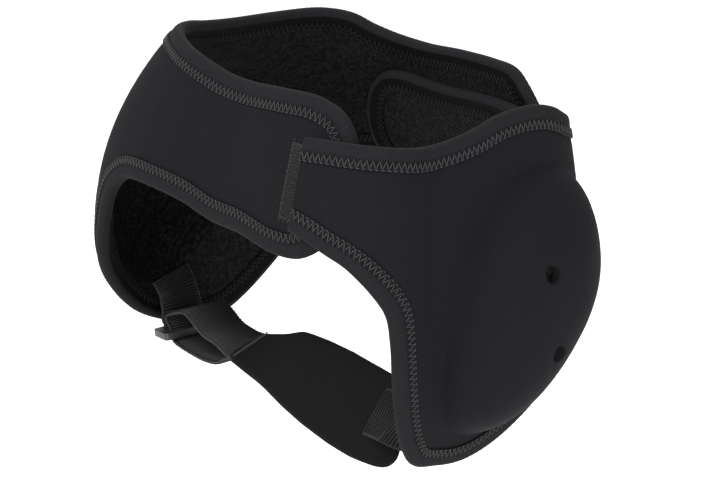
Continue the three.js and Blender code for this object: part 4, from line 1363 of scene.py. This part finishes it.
def make_chin_pad(guard):
    """Flat foam pad whose faces round off towards its edge"""
    places, across, face, width = guard.pad_stations(PAD_SPANS)
    lengths = run_lengths(places)
    from_end = np.minimum(lengths, (lengths[-1] - lengths) * 2)
    past_corner = np.clip(from_end / PAD_CORNER, 0, 1)
    half_width = width / 2 - PAD_CORNER * (1 - quarter_round(past_corner))
    sides = np.sin(np.linspace(-math.pi / 2, math.pi / 2, PAD_COLUMNS))
    to_side = half_width[:, None] * (1 - np.abs(sides))[None]
    to_edge = np.minimum(to_side, from_end[:, None])
    share = np.clip(to_edge / PAD_RIM, 0, 1)
    crown = PAD_CROWN * smooth_step(to_edge, 0, 14 * MM)
    half = (guard.sizes.pad / 2 - PAD_CROWN) * quarter_round(share) + crown
    ripple = 0.12 * MM * np.sin(lengths * 260)[:, None] * np.sin(sides * 2.3 + 0.6)[None]
    level = places[:, None] + across[:, None] * (sides[None, :, None] * half_width[:, None, None])
    upper = level + face[:, None] * (half + ripple * share)[:, :, None]
    lower = level - face[:, None] * half[:, :, None]
    total = len(places) * PAD_COLUMNS
    faces = []
    for row in range(len(places) - 1):
        for a in range(row * PAD_COLUMNS, (row + 1) * PAD_COLUMNS - 1):
            b = a + PAD_COLUMNS
            faces += [(a, b, b + 1, a + 1), (total + a, total + a + 1, total + b + 1, total + b)]
    vertices = np.vstack([upper.reshape(-1, 3), lower.reshape(-1, 3)])
    to_middle = sides[None] * half_width[:, None]
    cut = np.stack([np.repeat(lengths, PAD_COLUMNS), to_middle.ravel()], axis=1)
    cut = np.vstack([cut, cut])
    pad = new_piece("chin_pad_foam", vertices, faces, [guard.finishes.pad], None, cut)
    build = bmesh.new()
    build.from_mesh(pad.data)
    bmesh.ops.remove_doubles(build, verts=build.verts, dist=0.02 * MM)
    bmesh.ops.recalc_face_normals(build, faces=build.faces)
    build.to_mesh(pad.data)
    build.free()
    settle(pad, "pad_cloth", "chin_pad")


def quarter_round(share):
    """Height of a quarter circle, from 0 at share 0 to 1 at share 1"""
    return np.sqrt(np.clip(1 - (1 - share) ** 2, 0, 1))


def near_webbing_stations(guard):
    """From the pad's wide end up the inner face of the left panel"""
    sizes = guard.sizes
    panel = Sheet(guard.form, lambda flat: np.zeros(len(flat)))
    flats = guard.form.flat(NEAR_WEBBING_SEAM)
    reach = [0, sizes.webbing_width / 2]
    seam = panel.place(flats, guard.webbing_depth(2 * sizes.gap))
    down = unit(panel.middle(flats - reach) - panel.middle(flats + reach))
    pad_face = np.array([0, -math.cos(PAD_TILT), math.sin(PAD_TILT)])
    lift = pad_face * (sizes.pad / 2 + sizes.gap + sizes.webbing / 2)
    middles = [guard.place(NEAR_WEBBING_END) + lift, guard.place(NEAR_WEBBING_TURN) + lift, *seam]
    acrosses = [tilted(PAD_TILT), tilted(PAD_TILT), *down]
    return guard.webbing_stations(middles, acrosses, 120)


def far_webbing_stations(guard):
    """From inside the pad's neck through the slider and back into the neck"""
    places, across, face, _ = guard.pad_stations(NECK_SPANS)
    lift = 0.55 * guard.sizes.webbing
    under = [places[i] - face[i] * lift for i in NECK_ROWS]
    over = [places[i] + face[i] * lift for i in reversed(NECK_ROWS)]
    lower = [guard.place(row) for row in LOWER_LAYER]
    upper = [guard.place(row) for row in UPPER_LAYER]
    middles = [*under, *lower, *guard.around_bars(SLIDER_WINDING, guard.sizes.gap), *upper, *over]
    acrosses = [-guard.slider_frame()[0]] * len(middles)
    for index, row in enumerate(NECK_ROWS):
        acrosses[index] = acrosses[-1 - index] = across[row]
    return guard.webbing_stations(middles, acrosses, 400)


def slider_tab_stations(guard):
    """From the inner face of the right panel down and round the slider's outer bar"""
    sizes = guard.sizes
    flats = guard.form.flat(TAB_SEAM)
    seam = guard.wrap.place(flats, guard.webbing_depth(TAB_STAND_OFF))
    reach = [sizes.webbing_width / 2, 0]
    along_panel = unit(guard.wrap.middle(flats + reach) - guard.wrap.middle(flats - reach))
    forward = -guard.slider_frame()[0]
    turning = unit(along_panel[1] * 0.6 + forward * 0.4)
    middles = [*seam, guard.place(TAB_DROP), *guard.around_bars(TAB_WINDING, 2 * sizes.gap)]
    acrosses = [*along_panel, turning, *[forward] * len(TAB_WINDING)]
    return guard.webbing_stations(middles, acrosses, 160)


def make_webbing(guard):
    """The webbing through the slider with its bar tack, the near stub and the slider's tab"""
    places, across, face, width = guard.pad_stations(4 * NECK_SPANS)
    row = 4 * NECK_SPANS - 3
    along = unit(places[row + 1] - places[row - 1])
    tack = bar_tack(guard, places[row] + face[row] * 0.5 * guard.sizes.pad, across[row], along,
                    face[row], width[row] - 3 * MM)
    far = webbing_piece("far_webbing", guard, far_webbing_stations(guard), [tack])
    settle(far, "webbing", "chin_webbing_far")
    near = webbing_piece("near_webbing", guard, near_webbing_stations(guard))
    settle(near, "webbing", "chin_webbing_near")
    tab = webbing_piece("slider_tab", guard, slider_tab_stations(guard))
    settle(tab, "webbing", "buckle_tab")


def rounded_rectangle(half_x, low, high, radius, steps=6):
    corners = [(half_x - radius, high - radius), (radius - half_x, high - radius),
               (radius - half_x, low + radius), (half_x - radius, low + radius)]
    points = []
    for quarter, corner in enumerate(corners):
        angles = np.linspace(quarter, quarter + 1, steps) * math.pi / 2
        points.append(corner + radius * np.stack([np.cos(angles), np.sin(angles)], axis=1))
    return np.vstack(points)


def make_slider(guard):
    """Moulded frame with three bars and two slots"""
    sizes = guard.sizes
    pitch = guard.bar_pitch()
    bar = sizes.slider_bar
    inner = sizes.webbing_width / 2 + sizes.gap
    outer = rounded_rectangle(inner + sizes.slider_side, -pitch - bar / 2, pitch + bar / 2,
                              SLIDER_CORNER)
    slots = [rounded_rectangle(inner, bar / 2, pitch - bar / 2, SLOT_CORNER),
             rounded_rectangle(inner, bar / 2 - pitch, -bar / 2, SLOT_CORNER)]
    count = len(outer)
    loops = [np.arange(count) + first for first in (0, count, 2 * count)]
    flats, triangles = triangulate(np.vstack([outer, *slots]), loops)
    middles = flats[triangles].mean(axis=1)
    in_slot = inside(middles, slots[0]) | inside(middles, slots[1])
    triangles = triangles[inside(middles, outer) & ~in_slot]
    bars, up, face, middle = guard.slider_frame()
    level = middle + bars * flats[:, :1] + up * flats[:, 1:]
    vertices = np.vstack([level + face * sizes.slider / 2, level - face * sizes.slider / 2])
    count = len(flats)
    faces = [*triangles, *((count + a, count + c, count + b) for a, b, c in triangles),
             *((b, a, count + a, count + b) for a, b in free_edges(triangles))]
    slider = new_piece("slider_frame", vertices, faces, [guard.finishes.slider], smooth=False)
    flatten = slider.modifiers.new("Flatten", "DECIMATE")
    flatten.decimate_type = "DISSOLVE"
    flatten.angle_limit = math.radians(2)
    bevel = slider.modifiers.new("Round", "BEVEL")
    bevel.width = SLIDER_ROUND
    bevel.segments = 3
    bevel.limit_method = "ANGLE"
    bevel.angle_limit = math.radians(50)
    mesh = plain_mesh(slider)
    slider.modifiers.clear()
    slider.data = mesh
    set_smooth(mesh)
    mesh.set_sharp_from_angle(angle=math.radians(40))
    settle(slider, "slider_plastic", "slide_buckle")


# Stage. Lengths in metres, angles as seen from the object, and the lens in pixels of the photograph

FRAME_WIDTH = 720
CAMERA_AZIMUTH = math.radians(52)
CAMERA_ELEVATION = math.radians(26)
CAMERA_DISTANCE = 1.0
CAMERA_TARGET = (-0.006, 0.0, -0.05)
FOCAL_PIXELS = 2400
SENSOR = 36
CLIP_START = 0.05
FLOOR_DROP = 0.45
FLOOR_REACH = 12.0
SKY_STRENGTH = 0.75
# Area lights. Columns: name, azimuth and elevation in degrees, distance and size in metres, watts
LIGHTS = [
    ["key", -8, 40, 1.5, 1.2, 36],
    ["fill", 98, 6, 1.8, 1.0, 32],
    ["front", 35, 8, 1.6, 0.8, 13],
    ["back", 220, 48, 1.7, 1.3, 20],
]


def toward(azimuth, elevation):
    """Direction out from the object; azimuth 0 is the wearer's front and 90 the wearer's left"""
    level = math.cos(elevation)
    return Vector((math.sin(azimuth) * level, -math.cos(azimuth) * level, math.sin(elevation)))


def aim(item, direction, distance, target):
    item.location = Vector(target) + direction * distance
    item.rotation_euler = direction.to_track_quat("Z", "Y").to_euler()


def make_stage(context):
    scene = context.scene
    camera = linked("Camera", bpy.data.cameras.new("Camera"))
    camera.data.sensor_width = SENSOR
    camera.data.lens = FOCAL_PIXELS * SENSOR / FRAME_WIDTH
    camera.data.clip_start = CLIP_START
    aim(camera, toward(CAMERA_AZIMUTH, CAMERA_ELEVATION), CAMERA_DISTANCE, CAMERA_TARGET)
    scene.camera = camera
    for name, azimuth, elevation, distance, size, watts in LIGHTS:
        light = bpy.data.lights.new(name, "AREA")
        light.size = size
        light.energy = watts
        direction = toward(math.radians(azimuth), math.radians(elevation))
        aim(linked(name, light), direction, distance, (0, 0, 0))
    low = cad_box[0].z - FLOOR_DROP
    corners = [(x * FLOOR_REACH, y * FLOOR_REACH, low)
               for x, y in ((-1, -1), (1, -1), (1, 1), (-1, 1))]
    paint = floor_paint("studio_floor", scene.ear_guard_colours.floor)
    floor = new_piece("studio_floor", corners, [(0, 1, 2, 3)], [paint], smooth=False)
    world = bpy.data.worlds.new("Studio")
    world.use_nodes = True
    sky = world.node_tree.nodes["Background"]
    sky.inputs["Color"].default_value = (1.0, 1.0, 1.0, 1)
    sky.inputs["Strength"].default_value = SKY_STRENGTH
    scene.world = world
    scene.view_settings.view_transform = "Standard"


# Operators

class EARGUARD_OT_stage(bpy.types.Operator):
    """Set up the camera, the studio lights and the floor"""

    bl_idname = "ear_guard.stage"
    bl_label = "Studio stage"

    def execute(self, context):
        make_stage(context)
        return {"FINISHED"}


class PieceMaker:
    """What the operators of the pieces have in common"""

    def execute(self, context):
        self.make(Guard(context.scene))
        return {"FINISHED"}


class EARGUARD_OT_head_wrap(PieceMaker, bpy.types.Operator):
    """Make the forehead strap, right ear panel and back band with their binding"""

    bl_idname = "ear_guard.head_wrap"
    bl_label = "Head wrap"
    make = staticmethod(make_head_wrap)


class EARGUARD_OT_left_panel(PieceMaker, bpy.types.Operator):
    """Make the left ear panel with its binding"""

    bl_idname = "ear_guard.left_panel"
    bl_label = "Left ear panel"
    make = staticmethod(make_left_panel)


class EARGUARD_OT_hook_patch(PieceMaker, bpy.types.Operator):
    """Make the hook patch under the left panel's front tab"""

    bl_idname = "ear_guard.hook_patch"
    bl_label = "Hook patch"
    make = staticmethod(make_hook_patch)


class EARGUARD_OT_chin_pad(PieceMaker, bpy.types.Operator):
    """Make the chin pad"""

    bl_idname = "ear_guard.chin_pad"
    bl_label = "Chin pad"
    make = staticmethod(make_chin_pad)


class EARGUARD_OT_webbing(PieceMaker, bpy.types.Operator):
    """Make the three lengths of ribbed webbing"""

    bl_idname = "ear_guard.webbing"
    bl_label = "Chin webbing"
    make = staticmethod(make_webbing)


class EARGUARD_OT_slider(PieceMaker, bpy.types.Operator):
    """Make the moulded slider"""

    bl_idname = "ear_guard.slider"
    bl_label = "Slider"
    make = staticmethod(make_slider)


OPERATORS = [
    EARGUARD_OT_stage, EARGUARD_OT_head_wrap, EARGUARD_OT_left_panel, EARGUARD_OT_hook_patch,
    EARGUARD_OT_chin_pad, EARGUARD_OT_webbing, EARGUARD_OT_slider,
]


class EARGUARD_PT_panel(bpy.types.Panel):
    """Buttons, sizes and colours of the ear guard"""

    bl_idname = "EARGUARD_PT_panel"
    bl_label = "Ear Guard"
    bl_space_type = "VIEW_3D"
    bl_region_type = "UI"
    bl_category = "Ear Guard"

    def draw(self, context):
        for operator in OPERATORS:
            self.layout.operator(operator.bl_idname)
        for group in (context.scene.ear_guard_sizes, context.scene.ear_guard_colours):
            box = self.layout.box()
            for name in type(group).__annotations__:
                box.prop(group, name)


CLASSES = [EarGuardSizes, EarGuardColours, *OPERATORS, EARGUARD_PT_panel]


def register():
    for item in CLASSES:
        bpy.utils.register_class(item)
    bpy.types.Scene.ear_guard_sizes = bpy.props.PointerProperty(type=EarGuardSizes)
    bpy.types.Scene.ear_guard_colours = bpy.props.PointerProperty(type=EarGuardColours)


def unregister():
    del bpy.types.Scene.ear_guard_colours
    del bpy.types.Scene.ear_guard_sizes
    for item in reversed(CLASSES):
        bpy.utils.unregister_class(item)


def main():
    register()
    bpy.ops.ear_guard.stage()
    bpy.ops.ear_guard.head_wrap()
    bpy.ops.ear_guard.left_panel()
    bpy.ops.ear_guard.hook_patch()
    bpy.ops.ear_guard.chin_pad()
    bpy.ops.ear_guard.webbing()
    bpy.ops.ear_guard.slider()


if __name__ == "__main__":
    main()
